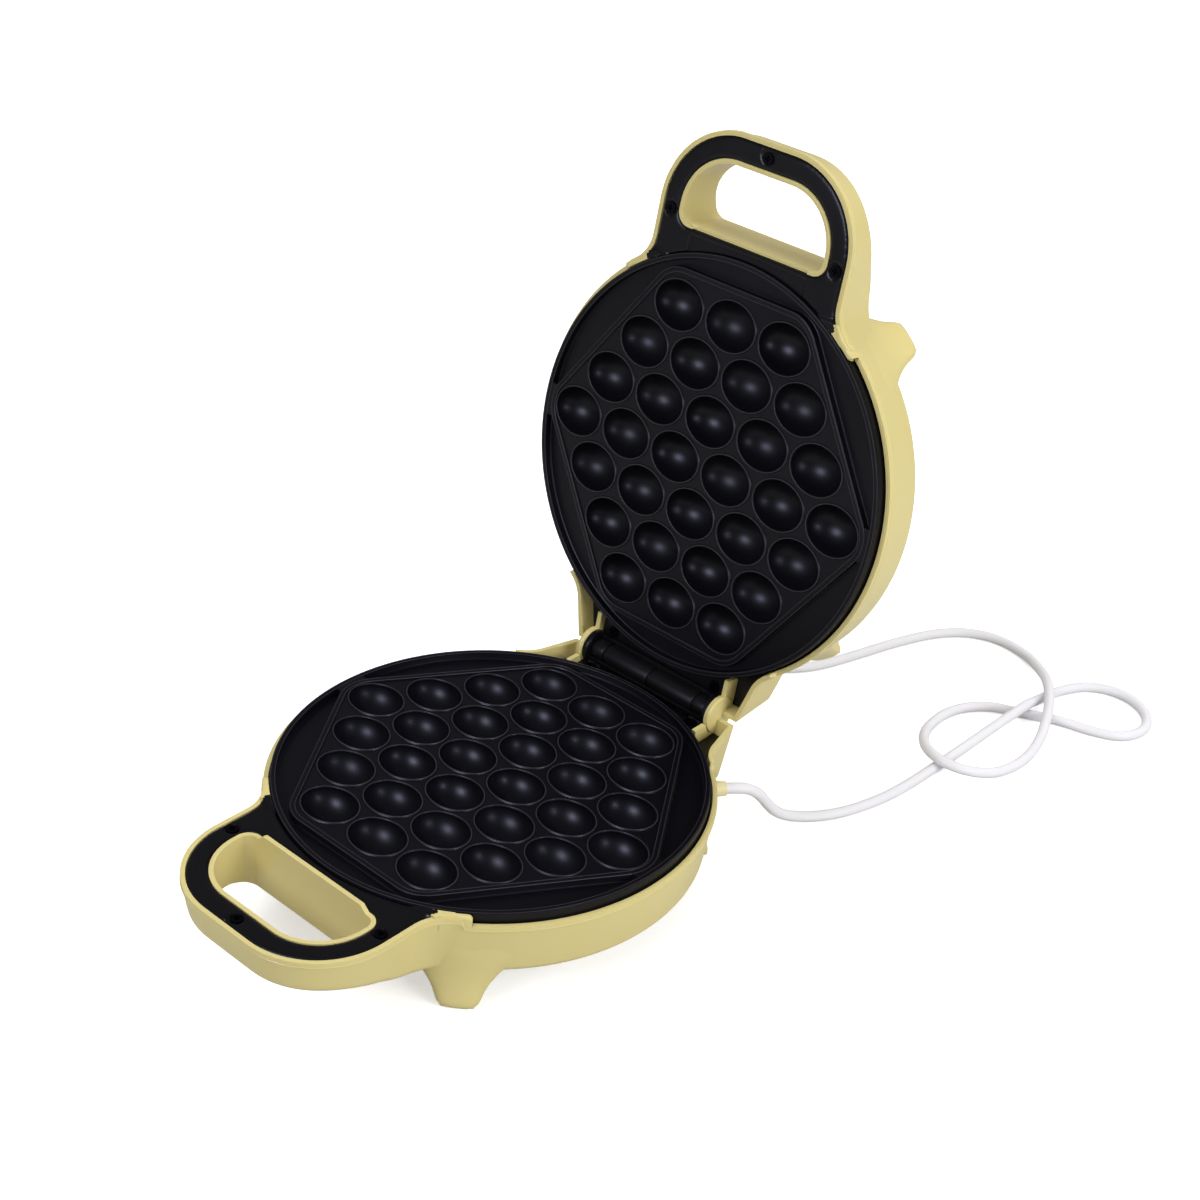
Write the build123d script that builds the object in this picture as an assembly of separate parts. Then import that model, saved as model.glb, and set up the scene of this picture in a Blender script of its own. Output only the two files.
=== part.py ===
"""Egg waffle pan: an electric bubble-waffle maker of two hinged halves.

Each half is a drafted housing with a loop handle, two rear ears and tapered feet. It holds a black
frame, a round cast plate with rows of egg-shaped cells, a tubular heater, a reflector pan and a
thermostat. The halves turn on a pin behind the plates, and the mains cord leaves the lower half.

The halves are modelled closed, about the plates' common centre: X runs along the hinge pin, Y from
the handle (-) to the hinge (+) and Z is up, with the parting plane at Z = 0. A half is drawn below
that plane. The lid is then mirrored above it and swung open, which is the pose at rest, and all is
set down with its origin on the table, under the middle of the open appliance.
"""

import copy
import math
import os

from build123d import *

# ---- Driving dimensions: millimetres and degrees ----

# egg cells
CELL_LENGTH = 29.6  # along X, at the parting plane
CELL_WIDTH = 24.4  # along Y, and twice the depth: the cell is a spheroid about X
CELL_SPACE = 2.9  # flat land between neighbours in a row
ROW_SPACE = 3.4  # land between neighbours of two rows, along the line of their centres
CELL_FLOOR = 1.5  # metal under a cell
MIDDLE_ROW_CELLS = 6
ROWS_EACH_SIDE = 3

# plate
PARTING_GAP = 0.25  # plate face to the parting plane
FIELD_DROP = 0.75  # the field between the cells lies under the face
CHANNEL_DROP = 3.75  # the overflow channels lie deeper
FIELD_THICKNESS = 3.0
RIDGE_GAP = 1.2  # cell edge to ridge
RIDGE_WIDTH = 2.2
CHANNEL_NECK = 2.0  # channel width at the ridge's side corners
CHANNEL_END = 8.5  # half the width of the land that closes the channels at the sides
PLATE_RIM = 2.6
FLANGE_DEPTH = 9.0  # underside of the plate's side wall
STUD_RADIUS = 3.6
STUD_ANGLE = 33.3
STUD_INSET = 13.0  # stud axis to the plate's edge

# housing
WALL = 2.2
FLOOR = 2.4
DRAFT = 8.0
RIM_DROP = 1.5  # rim at the handle and the ears
SIDE_RIM_DROP = 5.0  # rim along the plate's sides
STEP_FRONT = 20.0  # plate's edge to where the rim steps down behind the handle
STEP_BACK = 31.0  # hinge axis to where it steps down ahead of the ears
TAB_LENGTH = 8.5  # tab on the rim ahead of the step
TAB_RISE = 1.3  # over the rim
HOUSING_DEPTH = 35.0
BOTTOM_ROUND = 5.0
SEAT_GAP = 0.3
PLATE_GAP = 0.6

# handle
HOLE_WIDTH = 84.6
HOLE_DEPTH = 33.9
HOLE_NEAR_CORNER = 5.0
HOLE_FAR_CORNER = 26.0
HOLE_TO_PLATE = 5.65
TONGUE_WIDTH = 65.0  # the base's straight wall stands up as a tongue, and the lid's is cut down for it
TONGUE_SLOPE = 3.2
TONGUE_TOP = 1.6  # over the parting plane
TONGUE_GAP = 1.4
GRIP_SIDE = 12.5
GRIP_TIP = 13.15
HANDLE_CORNER = 42.0
HANDLE_DEPTH = 21.0
CURVE_START = 18.0  # plate centre side of the plate's edge, where the underside starts to rise
CURVE_LENGTH = 59.0
NECK_ROUND = 18.0

# feet
FOOT_HEIGHT = 19.0
FOOT_ROOT_LENGTH = 50.0
FOOT_NECK_LENGTH = 25.0
FOOT_TIP_LENGTH = 15.0
FOOT_ROOT_DEPTH = 26.0
FOOT_NECK_DEPTH = 39.0
FOOT_THICKNESS = 12.0
FOOT_FLARE = 4.0  # how far the tip's outer edge stands out from the root's
FOOT_ANGLE = 52.3  # from the X axis, on each side of both axes
FOOT_ROUND = 2.5

# frame
INSERT_DROP = 2.0
BRACKET_DROP = 5.0  # top of the hinge bracket's foot
FRAME_THICKNESS = 3.0
FRAME_RING = 5.0
LUG_RADIUS = 6.0
FRAME_GAP = 0.3
SKIRT_THICKNESS = 2.6
SCREW_RADIUS = 1.5
SCREW_CLEARANCE = 0.2
THREAD_CLEARANCE = 0.05
HEAD_RADIUS = 2.9
HEAD_HEIGHT = 1.8
HEAD_SINK = 1.2
RECESS_LENGTH = 3.2
RECESS_WIDTH = 0.7
BOSS_RADIUS = 4.0
BOSS_THREAD = 9.0
STUD_THREAD = 3.6
SIDE_SCREW_INSET = 7.3  # from the housing's edge, beside the handle opening
SIDE_SCREW_BACK = 3.7  # from the opening's straight side

# hinge
BARREL_RADIUS = 5.5
BARREL_GAP = 0.5  # between neighbouring barrels
HINGE_TO_PLATE = 5.5
CENTRE_BARREL = 29.5
END_BARREL = 8.0
PIN_RADIUS = 2.0
PIN_CLEARANCE = 0.05
OPEN_ANGLE = 101.0
BRACKET_TO_CHEEK = 3.2
CHEEK_THICKNESS = 2.5
CHEEK_RADIUS = 9.5
CHEEK_CLEARANCE = 0.8
EAR_HOLLOW = 7.35
EAR_SPREAD = 0.28  # how much an ear widens for each millimetre towards the plate
EAR_WALL_START = 18.0  # ahead of the hinge axis
HINGE_SCREW_INSET = 4.25  # from the bracket's end
HINGE_SCREW_BACK = 10.0  # from the hinge axis
TONGUE_BACK = 6.5  # tongue's end to the hinge axis
ARM_TOP = 1.5
TROUGH_CLEARANCE = 0.8  # barrels to the trough round them
TROUGH_THICKNESS = 1.8

# inside
HEATER_RADIUS = 58.0
HEATER_TUBE = 3.3
HEATER_ARC = 300.0
HEATER_END = 10.0
PAN_THICKNESS = 0.8
PAN_FLOOR_RADIUS = 80.0
PAN_SLOPE = 7.0
PAN_RIM = 8.0
SPACER_RADIUS = 3.4
SPACER_CIRCLE = 36.0
SPACER_ANGLES = (30, 150, 270)
THERMOSTAT_RADIUS = 8.0
THERMOSTAT_HEIGHT = 8.5
THERMOSTAT_HOLE_GAP = 2.0
BLADE_SPACE = 7.0
BLADE_WIDTH = 4.0
BLADE_LENGTH = 8.0
BLADE_THICKNESS = 0.8
FUSE_RADIUS = 2.0
FUSE_LENGTH = 26.0
FUSE_LEAD_RADIUS = 0.6
FUSE_FROM_CENTRE = 20.0
BLOCK_LENGTH = 26.0
BLOCK_WIDTH = 14.0
BLOCK_CLEARANCE = 2.9  # under the reflector pan
BLOCK_BORE = 2.2
BLOCK_BORE_STEP = 8.1
BLOCK_FROM_CENTRE = 80.0
LENS_RADIUS = 4.0
LENS_SPACING = 26.0
LENS_FROM_CENTRE = 78.0
LENS_DOME = 1.6
LAMP_RADIUS = 3.0
LAMP_CLEARANCE = 2.1  # under the reflector pan
LAMP_GAP = 0.3
VENT_LENGTH = 26.0
VENT_WIDTH = 3.0
VENT_STEP = 8.0
VENTS_IN_ROW = 5
VENT_FROM_CENTRE = 40.0

# cord
CORD_DIAMETER = 5.5
RELIEF_ANGLE = 51.0
RELIEF_DROP = 16.6
RELIEF_OUT = 8.6
RELIEF_IN = 7.0
RELIEF_RADIUS = 4.2
RELIEF_TIP_RADIUS = 3.5
COLLAR_RADIUS = 5.4
COLLAR_THICKNESS = 1.4
CORD_LEAD = 5.0  # straight run out of the relief
CROSSING_GAP = 0.4  # between two strands that cross
RUN_SHARE = 0.45  # of the shorter run beside a bend, taken by its arc
PLUG_WIDTH = 34.0
PLUG_THICKNESS = 13.6
PLUG_LENGTH = 30.0
PLUG_SLEEVE = 14.0
PLUG_OVERLAP = 2.0  # body over the sleeve
PLUG_NECK = 17.0
PLUG_WAIST = 24.5
PLUG_HEAD = 18.5  # from the waist to the pins' face
SLEEVE_WALL = 0.9
PLUG_ROUND = 4.0
PLUG_PIN_RADIUS = 2.0
PLUG_PIN_LENGTH = 19.0
PLUG_PIN_SPACE = 19.0

# ---- Sizes worked out from them ----

CELL_PITCH = CELL_LENGTH + CELL_SPACE
ROW_PITCH = (CELL_WIDTH + ROW_SPACE) * math.sqrt(1 - (CELL_PITCH / 2 / (CELL_LENGTH + ROW_SPACE)) ** 2)
MIDDLE_ROW = (MIDDLE_ROW_CELLS - 1) / 2 * CELL_PITCH
FIELD_MARGIN = CELL_LENGTH / 2 + RIDGE_GAP
RIM_INSIDE = MIDDLE_ROW + FIELD_MARGIN + RIDGE_WIDTH + CHANNEL_NECK
PLATE_RADIUS = RIM_INSIDE + PLATE_RIM
FIELD_Z = -PARTING_GAP - FIELD_DROP
CHANNEL_Z = -PARTING_GAP - CHANNEL_DROP
STUD_CIRCLE = PLATE_RADIUS - STUD_INSET


def draft_inset(depth):
    """How far the drafted wall has moved in at a depth under the rim."""
    return (depth - RIM_DROP) * math.tan(math.radians(DRAFT))


HOUSING_RADIUS = PLATE_RADIUS + PLATE_GAP + WALL + draft_inset(FLANGE_DEPTH)
HINGE_Y = PLATE_RADIUS + HINGE_TO_PLATE + BARREL_RADIUS
BRACKET_END = BARREL_GAP / 2 + CENTRE_BARREL + BARREL_GAP + END_BARREL
CHEEK_X = BRACKET_END + BRACKET_TO_CHEEK
EAR_END = CHEEK_X + CHEEK_THICKNESS + EAR_HOLLOW + WALL
HOLE_NEAR = PLATE_RADIUS + HOLE_TO_PLATE + WALL
HOLE_FAR = HOLE_NEAR + HOLE_DEPTH
HANDLE_TIP = HOLE_FAR + WALL + GRIP_TIP
HANDLE_HALF = HOLE_WIDTH / 2 + WALL + GRIP_SIDE
TABLE_DEPTH = HOUSING_DEPTH + FOOT_HEIGHT
INNER_FLOOR = HOUSING_DEPTH - FLOOR
FRAME_BOTTOM = FLANGE_DEPTH + FRAME_THICKNESS
PLATE_BOTTOM = CELL_WIDTH / 2 + CELL_FLOOR
HEATER_DEPTH = PLATE_BOTTOM + SEAT_GAP + HEATER_TUBE
PAN_TOP = HEATER_DEPTH + HEATER_TUBE + SEAT_GAP
PAN_BOTTOM = PAN_TOP + PAN_THICKNESS
BLOCK_HEIGHT = INNER_FLOOR - PAN_BOTTOM - BLOCK_CLEARANCE
LAMP_LENGTH = INNER_FLOOR - PAN_BOTTOM - LAMP_CLEARANCE - LAMP_GAP
HINGE_AXIS = Axis((0, HINGE_Y, 0), (1, 0, 0))


def slab(sketch, top, bottom, taper=0.0):
    """A flat outline given a thickness, from one depth down to another."""
    return extrude(Pos(0, 0, -top) * sketch, bottom - top, dir=(0, 0, -1), taper=taper)


def rod(radius, top, bottom):
    """An upright cylinder between two depths."""
    return Pos(0, 0, -(top + bottom) / 2) * Cylinder(radius, bottom - top)


# ---- Outlines, seen from above ----


def housing_outline():
    """Bowl circle, handle loop and ears, blended by concave rounds where they meet the circle."""
    handle_length = HANDLE_TIP - HOUSING_RADIUS / 2
    handle = Pos(0, -HANDLE_TIP + handle_length / 2) * Rectangle(2 * HANDLE_HALF, handle_length)
    tip_corners = handle.vertices().sort_by(Axis.Y)[0:2]
    handle = fillet(tip_corners, HANDLE_CORNER)
    root_y = HOUSING_RADIUS / 2
    root_x = EAR_END + EAR_SPREAD * (HINGE_Y - root_y)
    ears = make_face(
        Polyline((-EAR_END, HINGE_Y), (EAR_END, HINGE_Y), (root_x, root_y), (-root_x, root_y), close=True)
    )
    outline = Circle(HOUSING_RADIUS) + handle + ears
    necks = [
        v
        for v in outline.vertices()
        if abs(math.hypot(v.X, v.Y) - HOUSING_RADIUS) < 0.01 and abs(v.Y) > HOUSING_RADIUS / 2
    ]
    return fillet(necks, NECK_ROUND)


def inner_outline(outline, gap, depth):
    """The housing's inside at a depth, less a gap."""
    return offset(outline, -(WALL + gap + draft_inset(depth)), kind=Kind.ARC)


def hole_outline(grow):
    """The handle opening, grown by a wall: a D with its straight side towards the plate."""
    opening = Pos(0, -HOLE_NEAR - HOLE_DEPTH / 2) * Rectangle(HOLE_WIDTH, HOLE_DEPTH)
    far_corners = opening.vertices().sort_by(Axis.Y)[0:2]
    opening = fillet(far_corners, HOLE_FAR_CORNER)
    near_corners = opening.vertices().sort_by(Axis.Y)[-2:]
    opening = fillet(near_corners, HOLE_NEAR_CORNER)
    return offset(opening, grow, kind=Kind.ARC) if grow else opening


def cell_centres():
    """Where the cells stand: rows along X, one cell fewer with each row away from the middle."""
    centres = []
    for row in range(-ROWS_EACH_SIDE, ROWS_EACH_SIDE + 1):
        count = MIDDLE_ROW_CELLS - abs(row)
        for index in range(count):
            centres.append(((index - (count - 1) / 2) * CELL_PITCH, row * ROW_PITCH))
    return centres


def field_outline(margin):
    """The six-sided cell field with round corners, a margin outside the outermost cell centres."""
    top_y = ROWS_EACH_SIDE * ROW_PITCH
    top_x = (MIDDLE_ROW_CELLS - ROWS_EACH_SIDE - 1) / 2 * CELL_PITCH
    hexagon = make_face(
        Polyline(
            (MIDDLE_ROW, 0),
            (top_x, top_y),
            (-top_x, top_y),
            (-MIDDLE_ROW, 0),
            (-top_x, -top_y),
            (top_x, -top_y),
            close=True,
        )
    )
    return offset(hexagon, margin, kind=Kind.ARC)


# ---- Plate ----


def half_egg(length, width):
    """The lower half of a spheroid about X, its flat side at Z = 0."""
    arc = EllipticalCenterArc((0, 0), length / 2, width / 2, start_angle=0, arc_size=180)
    face = make_face([arc, Line(arc @ 1, arc @ 0)])
    return revolve(face, Axis.X, -180)


def stud_places():
    """The four plate fixings, mirrored about both axes, each turned so that its X points outwards."""
    return [
        Rot(0, 0, angle) * Pos(STUD_CIRCLE, 0, 0)
        for angle in (STUD_ANGLE, 180 - STUD_ANGLE, 180 + STUD_ANGLE, -STUD_ANGLE)
    ]


def spacer_places():
    """The three spacers that carry the reflector pan, inside the heater ring."""
    return [Rot(0, 0, angle) * Pos(SPACER_CIRCLE, 0, 0) for angle in SPACER_ANGLES]


def plate():
    """The cast plate: rim, overflow channels, ridge, sunk field, egg cells, studs and spacers."""
    web = -CHANNEL_Z + FIELD_THICKNESS
    field = field_outline(FIELD_MARGIN)
    body = slab(Circle(PLATE_RADIUS), PARTING_GAP, FLANGE_DEPTH)
    body -= slab(Circle(RIM_INSIDE - PLATE_RIM / 2), web, FLANGE_DEPTH)
    body += slab(field, web - FIELD_THICKNESS / 2, PLATE_BOTTOM, taper=DRAFT / 2)
    channel = Circle(RIM_INSIDE) - field_outline(FIELD_MARGIN + RIDGE_WIDTH)
    channel -= Rectangle(2 * PLATE_RADIUS, 2 * CHANNEL_END)
    body -= slab(channel, PARTING_GAP, -CHANNEL_Z)
    body -= slab(field, PARTING_GAP, -FIELD_Z)
    stud = rod(STUD_RADIUS, web - FIELD_THICKNESS / 2, FLANGE_DEPTH)
    spacer = rod(SPACER_RADIUS, PLATE_BOTTOM - CELL_FLOOR / 2, PAN_TOP)
    body = body + [place * stud for place in stud_places()]
    body = body + [place * spacer for place in spacer_places()]
    thread = rod(SCREW_RADIUS + THREAD_CLEARANCE, FLANGE_DEPTH - STUD_THREAD, FLANGE_DEPTH)
    spacer_thread = rod(SCREW_RADIUS + THREAD_CLEARANCE, PLATE_BOTTOM, PAN_TOP)
    body = body - [place * thread for place in stud_places()]
    body = body - [place * spacer_thread for place in spacer_places()]
    cell = half_egg(CELL_LENGTH, CELL_WIDTH)
    return body - [Pos(x, y, 0) * cell for x, y in cell_centres()]


# ---- Housing ----


def side_profile(floor_depth, handle_depth):
    """Everything over the underside's line: level under the bowl, then an S-curve up to the handle."""
    start = -PLATE_RADIUS + CURVE_START
    end = start - CURVE_LENGTH
    middle = ((start + end) / 2, -(floor_depth + handle_depth) / 2)
    first = TangentArc((start, -floor_depth), middle, tangent=(-1, 0))
    second = TangentArc(middle, (end, -handle_depth), tangent=first % 1)
    reach = HANDLE_TIP + WALL
    rest = Polyline((end, -handle_depth), (-reach, -handle_depth), (-reach, WALL), (reach, WALL))
    back = Polyline((reach, WALL), (reach, -floor_depth), (start, -floor_depth))
    face = make_face(Plane.YZ * Curve([first, second, rest, back]))
    return extrude(face, HOUSING_RADIUS + WALL, both=True)


def bowl_body():
    """The housing's outer form before it is hollowed: drafted walls and a rounded underside."""
    body = slab(housing_outline(), RIM_DROP, HOUSING_DEPTH, taper=DRAFT)
    body = body & side_profile(HOUSING_DEPTH, HANDLE_DEPTH)
    under = [e for e in body.edges() if e.bounding_box().max.Z < -HANDLE_DEPTH + 1]
    under = [e for e in under if abs(e.center().X) > 1 or abs(e.center().Y) > PLATE_RADIUS]
    return fillet(under, BOTTOM_ROUND)


def foot():
    """One flared foot on the X axis: its concave sides cut out of a ring that runs on from the wall."""
    outer = HOUSING_RADIUS - draft_inset(FOOT_ROOT_DEPTH)
    top = -RIM_DROP - SIDE_RIM_DROP
    inner = outer + FOOT_FLARE - FOOT_THICKNESS
    draft = math.radians(DRAFT)
    wall_line = Line((HOUSING_RADIUS - draft_inset(-top), top), (outer, -FOOT_ROOT_DEPTH))
    flare = TangentArc(
        (outer, -FOOT_ROOT_DEPTH),
        (outer + FOOT_FLARE, -TABLE_DEPTH),
        tangent=(-math.sin(draft), -math.cos(draft)),
    )
    rest = Polyline((outer + FOOT_FLARE, -TABLE_DEPTH), (inner, -TABLE_DEPTH), (inner, top), wall_line @ 0)
    ring = revolve(make_face(Plane.XZ * Curve([wall_line, flare, rest])), Axis.Z)
    root, neck, tip = FOOT_ROOT_LENGTH / 2, FOOT_NECK_LENGTH / 2, FOOT_TIP_LENGTH / 2
    side = Spline((-root, -FOOT_ROOT_DEPTH), (-neck, -FOOT_NECK_DEPTH), (-tip, -TABLE_DEPTH))
    other = Spline((root, -FOOT_ROOT_DEPTH), (neck, -FOOT_NECK_DEPTH), (tip, -TABLE_DEPTH))
    shape = make_face([side, Line(side @ 1, other @ 1), other, Line(other @ 0, side @ 0)])
    body = extrude(Plane.YZ * shape, 2 * HOUSING_RADIUS) & ring
    return fillet(body.edges().group_by(Axis.Z)[0], FOOT_ROUND)


def feet():
    """The four feet, mirrored about both axes."""
    angles = (FOOT_ANGLE, 180 - FOOT_ANGLE, 180 + FOOT_ANGLE, -FOOT_ANGLE)
    return [Rot(0, 0, angle) * foot() for angle in angles]


def across(x_from, x_to, shape_of):
    """The same solid on both sides of the middle plane, between two distances from it."""
    middle = (x_from + x_to) / 2
    return [Pos(side * middle, 0, 0) * shape_of(x_to - x_from) for side in (-1, 1)]


def about_hinge(radius):
    """A maker of cylinders along the hinge axis."""
    return lambda length: Pos(0, HINGE_Y, 0) * Rot(0, 90, 0) * Cylinder(radius, length)


def handle_screw_places():
    """Two screws beside the opening and one at the handle's tip."""
    side_x = HANDLE_HALF - SIDE_SCREW_INSET
    side_y = -(HOLE_NEAR + SIDE_SCREW_BACK)
    tip_y = -(HOLE_FAR + WALL + HANDLE_TIP - WALL) / 2
    return [Pos(side_x, side_y, 0), Pos(-side_x, side_y, 0), Pos(0, tip_y, 0)]


def hinge_screw_places():
    """Two screws through the hinge bracket's foot."""
    x = BRACKET_END - HINGE_SCREW_INSET
    return [Pos(side * x, HINGE_Y - HINGE_SCREW_BACK, 0) for side in (-1, 1)]


def tongue_wall(top):
    """The straight wall of the handle opening between its sloped ends, up to a height."""
    half = TONGUE_WIDTH / 2
    bottom = -INSERT_DROP - FRAME_THICKNESS
    run = TONGUE_SLOPE * (top - bottom) / (TONGUE_TOP + RIM_DROP)
    face = make_face(
        Plane.XZ * Polyline((-half, top), (half, top), (half + run, bottom), (-half - run, bottom), close=True)
    )
    return Pos(0, -HOLE_NEAR + WALL, 0) * extrude(face, WALL, dir=(0, -1, 0))


def tongue_slot():
    """What the lid's straight wall gives up for the base's tongue."""
    half = TONGUE_WIDTH / 2
    depth = TONGUE_TOP + TONGUE_GAP
    face = make_face(
        Plane.XZ
        * Polyline(
            (-half - TONGUE_SLOPE, 0),
            (half + TONGUE_SLOPE, 0),
            (half + TONGUE_SLOPE / 2, -depth),
            (-half - TONGUE_SLOPE / 2, -depth),
            close=True,
        )
    )
    return Pos(0, -HOLE_NEAR + WALL, 0) * extrude(face, 2 * WALL, both=True)


def rim_tabs():
    """A tab on each side: the rim's last stretch before it steps down, raised and wide."""
    middle = STEP_FRONT - PLATE_RADIUS - TAB_LENGTH / 2
    band = Pos(0, middle) * Rectangle(4 * HOUSING_RADIUS, TAB_LENGTH)
    strip = offset(housing_outline(), -TAB_RISE / 2, kind=Kind.ARC) & band
    strip = strip - Circle(PLATE_RADIUS + PLATE_GAP)
    return slab(strip, RIM_DROP - TAB_RISE, RIM_DROP + SEAT_GAP)


def cheek_wall(width):
    """The inner wall of an ear, beside the hinge bracket."""
    height = INNER_FLOOR - RIM_DROP + FLOOR / 2
    wall = Box(width, EAR_WALL_START, height)
    return Pos(0, HINGE_Y - EAR_WALL_START / 2, -RIM_DROP - height / 2) * wall


def housing(is_lid):
    """One moulded housing with its feet, hollow ears, lined handle opening and screw bosses."""
    outline = housing_outline()
    outer = bowl_body()
    cavity = slab(inner_outline(outline, 0, RIM_DROP), RIM_DROP, HOUSING_DEPTH, taper=DRAFT)
    cavity = cavity & side_profile(INNER_FLOOR, HANDLE_DEPTH - FLOOR)
    body = outer + feet() - cavity
    # handle opening with its own wall
    body = body + (slab(hole_outline(WALL), RIM_DROP, HOUSING_DEPTH) & outer)
    body = body - slab(hole_outline(0), 0, HOUSING_DEPTH)
    # the straight wall's tongue on the base, and its slot on the lid
    if is_lid:
        body = body - tongue_slot()
    else:
        body = body + tongue_wall(TONGUE_TOP)
    # inner walls of the ears
    cheek_end = CHEEK_X + CHEEK_THICKNESS
    for wall in across(CHEEK_X, cheek_end, cheek_wall):
        body = body + (wall & outer)
    # the rear wall opens around the hinge, and the lid's cheeks turn inside the base's
    swing = CHEEK_RADIUS + CHEEK_CLEARANCE
    cut_width = 2 * CHEEK_X if is_lid else 2 * (cheek_end + FRAME_GAP)
    body = body - about_hinge(swing)(cut_width)
    if is_lid:
        body = body + across(CHEEK_X, cheek_end, about_hinge(CHEEK_RADIUS))
    # screw bosses
    thread = SCREW_RADIUS + THREAD_CLEARANCE
    handle_top = INSERT_DROP + FRAME_THICKNESS
    for places, top in ((handle_screw_places(), handle_top), (hinge_screw_places(), FRAME_BOTTOM)):
        boss = rod(BOSS_RADIUS, top, HOUSING_DEPTH)
        for place in places:
            body = body + (place * boss & outer)
        body = body - [place * rod(thread, top, top + BOSS_THREAD) for place in places]
    # the rim steps down along the plate's sides, after a raised tab
    low_front = STEP_FRONT - PLATE_RADIUS
    low_back = HINGE_Y - STEP_BACK
    step = Box(4 * HOUSING_RADIUS, low_back - low_front, 2 * SIDE_RIM_DROP)
    body = body - Pos(0, (low_front + low_back) / 2, 0) * step
    body = body + rim_tabs()
    if is_lid:
        return body - [place * rod(LENS_RADIUS, INNER_FLOOR, HOUSING_DEPTH) for place in lens_places()]
    slot = slab(SlotOverall(VENT_LENGTH, VENT_WIDTH), INNER_FLOOR, HOUSING_DEPTH)
    row = range(-(VENTS_IN_ROW // 2), VENTS_IN_ROW // 2 + 1)
    body = body - [Pos(0, side * VENT_FROM_CENTRE + i * VENT_STEP, 0) * slot for i in row for side in (-1, 1)]
    grip_hole = Cylinder(RELIEF_RADIUS + THREAD_CLEARANCE, 2 * RELIEF_IN)
    return body - relief_place() * Rot(0, 90, 0) * grip_hole


# ---- Frame with the hinge barrels ----


def frame(is_lid):
    """The black moulding: plate ring with lugs, handle insert, ear floors and the hinge bracket."""
    outline = housing_outline()
    bore = Circle(PLATE_RADIUS + PLATE_GAP)
    opening = hole_outline(WALL + FRAME_GAP)
    low = inner_outline(outline, FRAME_GAP, FRAME_BOTTOM)
    reach = PLATE_RADIUS + PLATE_GAP + SKIRT_THICKNESS
    ear_floor = Pos(0, HINGE_Y / 2) * Rectangle(2 * EAR_END + 2 * WALL, HINGE_Y)
    ring = low & (Circle(reach) + ear_floor)
    ring = ring - opening - Circle(PLATE_RADIUS - FRAME_RING)
    body = slab(ring, FLANGE_DEPTH, FRAME_BOTTOM)
    tab_front = STEP_FRONT - PLATE_RADIUS - TAB_LENGTH - FRAME_GAP
    handle_side = Pos(0, tab_front - reach) * Rectangle(4 * reach, 2 * reach)
    skirt = (low & Circle(reach) & handle_side) - bore - opening
    body = body + slab(skirt, INSERT_DROP, FLANGE_DEPTH)
    insert = inner_outline(outline, FRAME_GAP, INSERT_DROP + FRAME_THICKNESS) & handle_side
    insert = insert - bore - opening
    body = body + slab(insert, INSERT_DROP, INSERT_DROP + FRAME_THICKNESS)
    lug = Circle(LUG_RADIUS) + Pos(STUD_INSET / 2, 0) * Rectangle(STUD_INSET, 2 * LUG_RADIUS)
    lug = slab(lug & Pos(-STUD_CIRCLE, 0) * Circle(PLATE_RADIUS - FRAME_RING / 2), FLANGE_DEPTH, FRAME_BOTTOM)
    body = body + [place * lug for place in stud_places()]
    body = body - [place * rod(SCREW_RADIUS + SCREW_CLEARANCE, 0, FRAME_BOTTOM) for place in stud_places()]
    # bracket's foot, and the slots for the ears' inner walls
    foot_length = HINGE_Y / 2 - TONGUE_BACK
    tongue = Pos(0, HINGE_Y / 2 + foot_length / 2) * Rectangle(2 * (CHEEK_X - FRAME_GAP), foot_length)
    body = body + slab(tongue - bore, BRACKET_DROP, FRAME_BOTTOM)
    body = body - across(CHEEK_X - FRAME_GAP, CHEEK_X + CHEEK_THICKNESS + FRAME_GAP, ear_slot)
    body = add_barrels(body, is_lid)
    shank_hole = rod(SCREW_RADIUS + SCREW_CLEARANCE, 0, FRAME_BOTTOM)
    head_hole = HEAD_RADIUS + SCREW_CLEARANCE
    for places, top in ((handle_screw_places(), INSERT_DROP), (hinge_screw_places(), BRACKET_DROP)):
        body = body - [place * shank_hole for place in places]
        body = body - [place * rod(head_hole, 0, top + HEAD_SINK) for place in places]
    return body


def ear_slot(width):
    """Room in the ear floor for an ear's inner wall."""
    return Pos(0, HINGE_Y, 0) * Box(width, 2 * (EAR_WALL_START + FRAME_GAP), 4 * FRAME_BOTTOM)


def hinge_arm_face():
    """The side view of the arm that carries a barrel, from the bracket's foot to the hinge axis."""
    return make_face(
        Plane.YZ
        * Polyline(
            (HINGE_Y - HINGE_SCREW_BACK, -FLANGE_DEPTH),
            (HINGE_Y - TONGUE_BACK, -BRACKET_DROP + 1),
            (HINGE_Y - BARREL_RADIUS / 2, -ARM_TOP),
            (HINGE_Y, -ARM_TOP),
            (HINGE_Y, -BARREL_RADIUS),
            (HINGE_Y - TONGUE_BACK, -FLANGE_DEPTH - 1),
            close=True,
        )
    )


def trough(length):
    """The quarter shell that closes the bracket round the other half's barrels."""
    inner = BARREL_RADIUS + TROUGH_CLEARANCE
    shell = about_hinge(inner + TROUGH_THICKNESS)(length) - about_hinge(inner)(length)
    reach = inner + 2 * TROUGH_THICKNESS
    quarter = Pos(0, HINGE_Y - reach / 2 - SEAT_GAP, -reach / 2 - ARM_TOP) * Box(length, reach, reach)
    return shell & quarter


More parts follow.
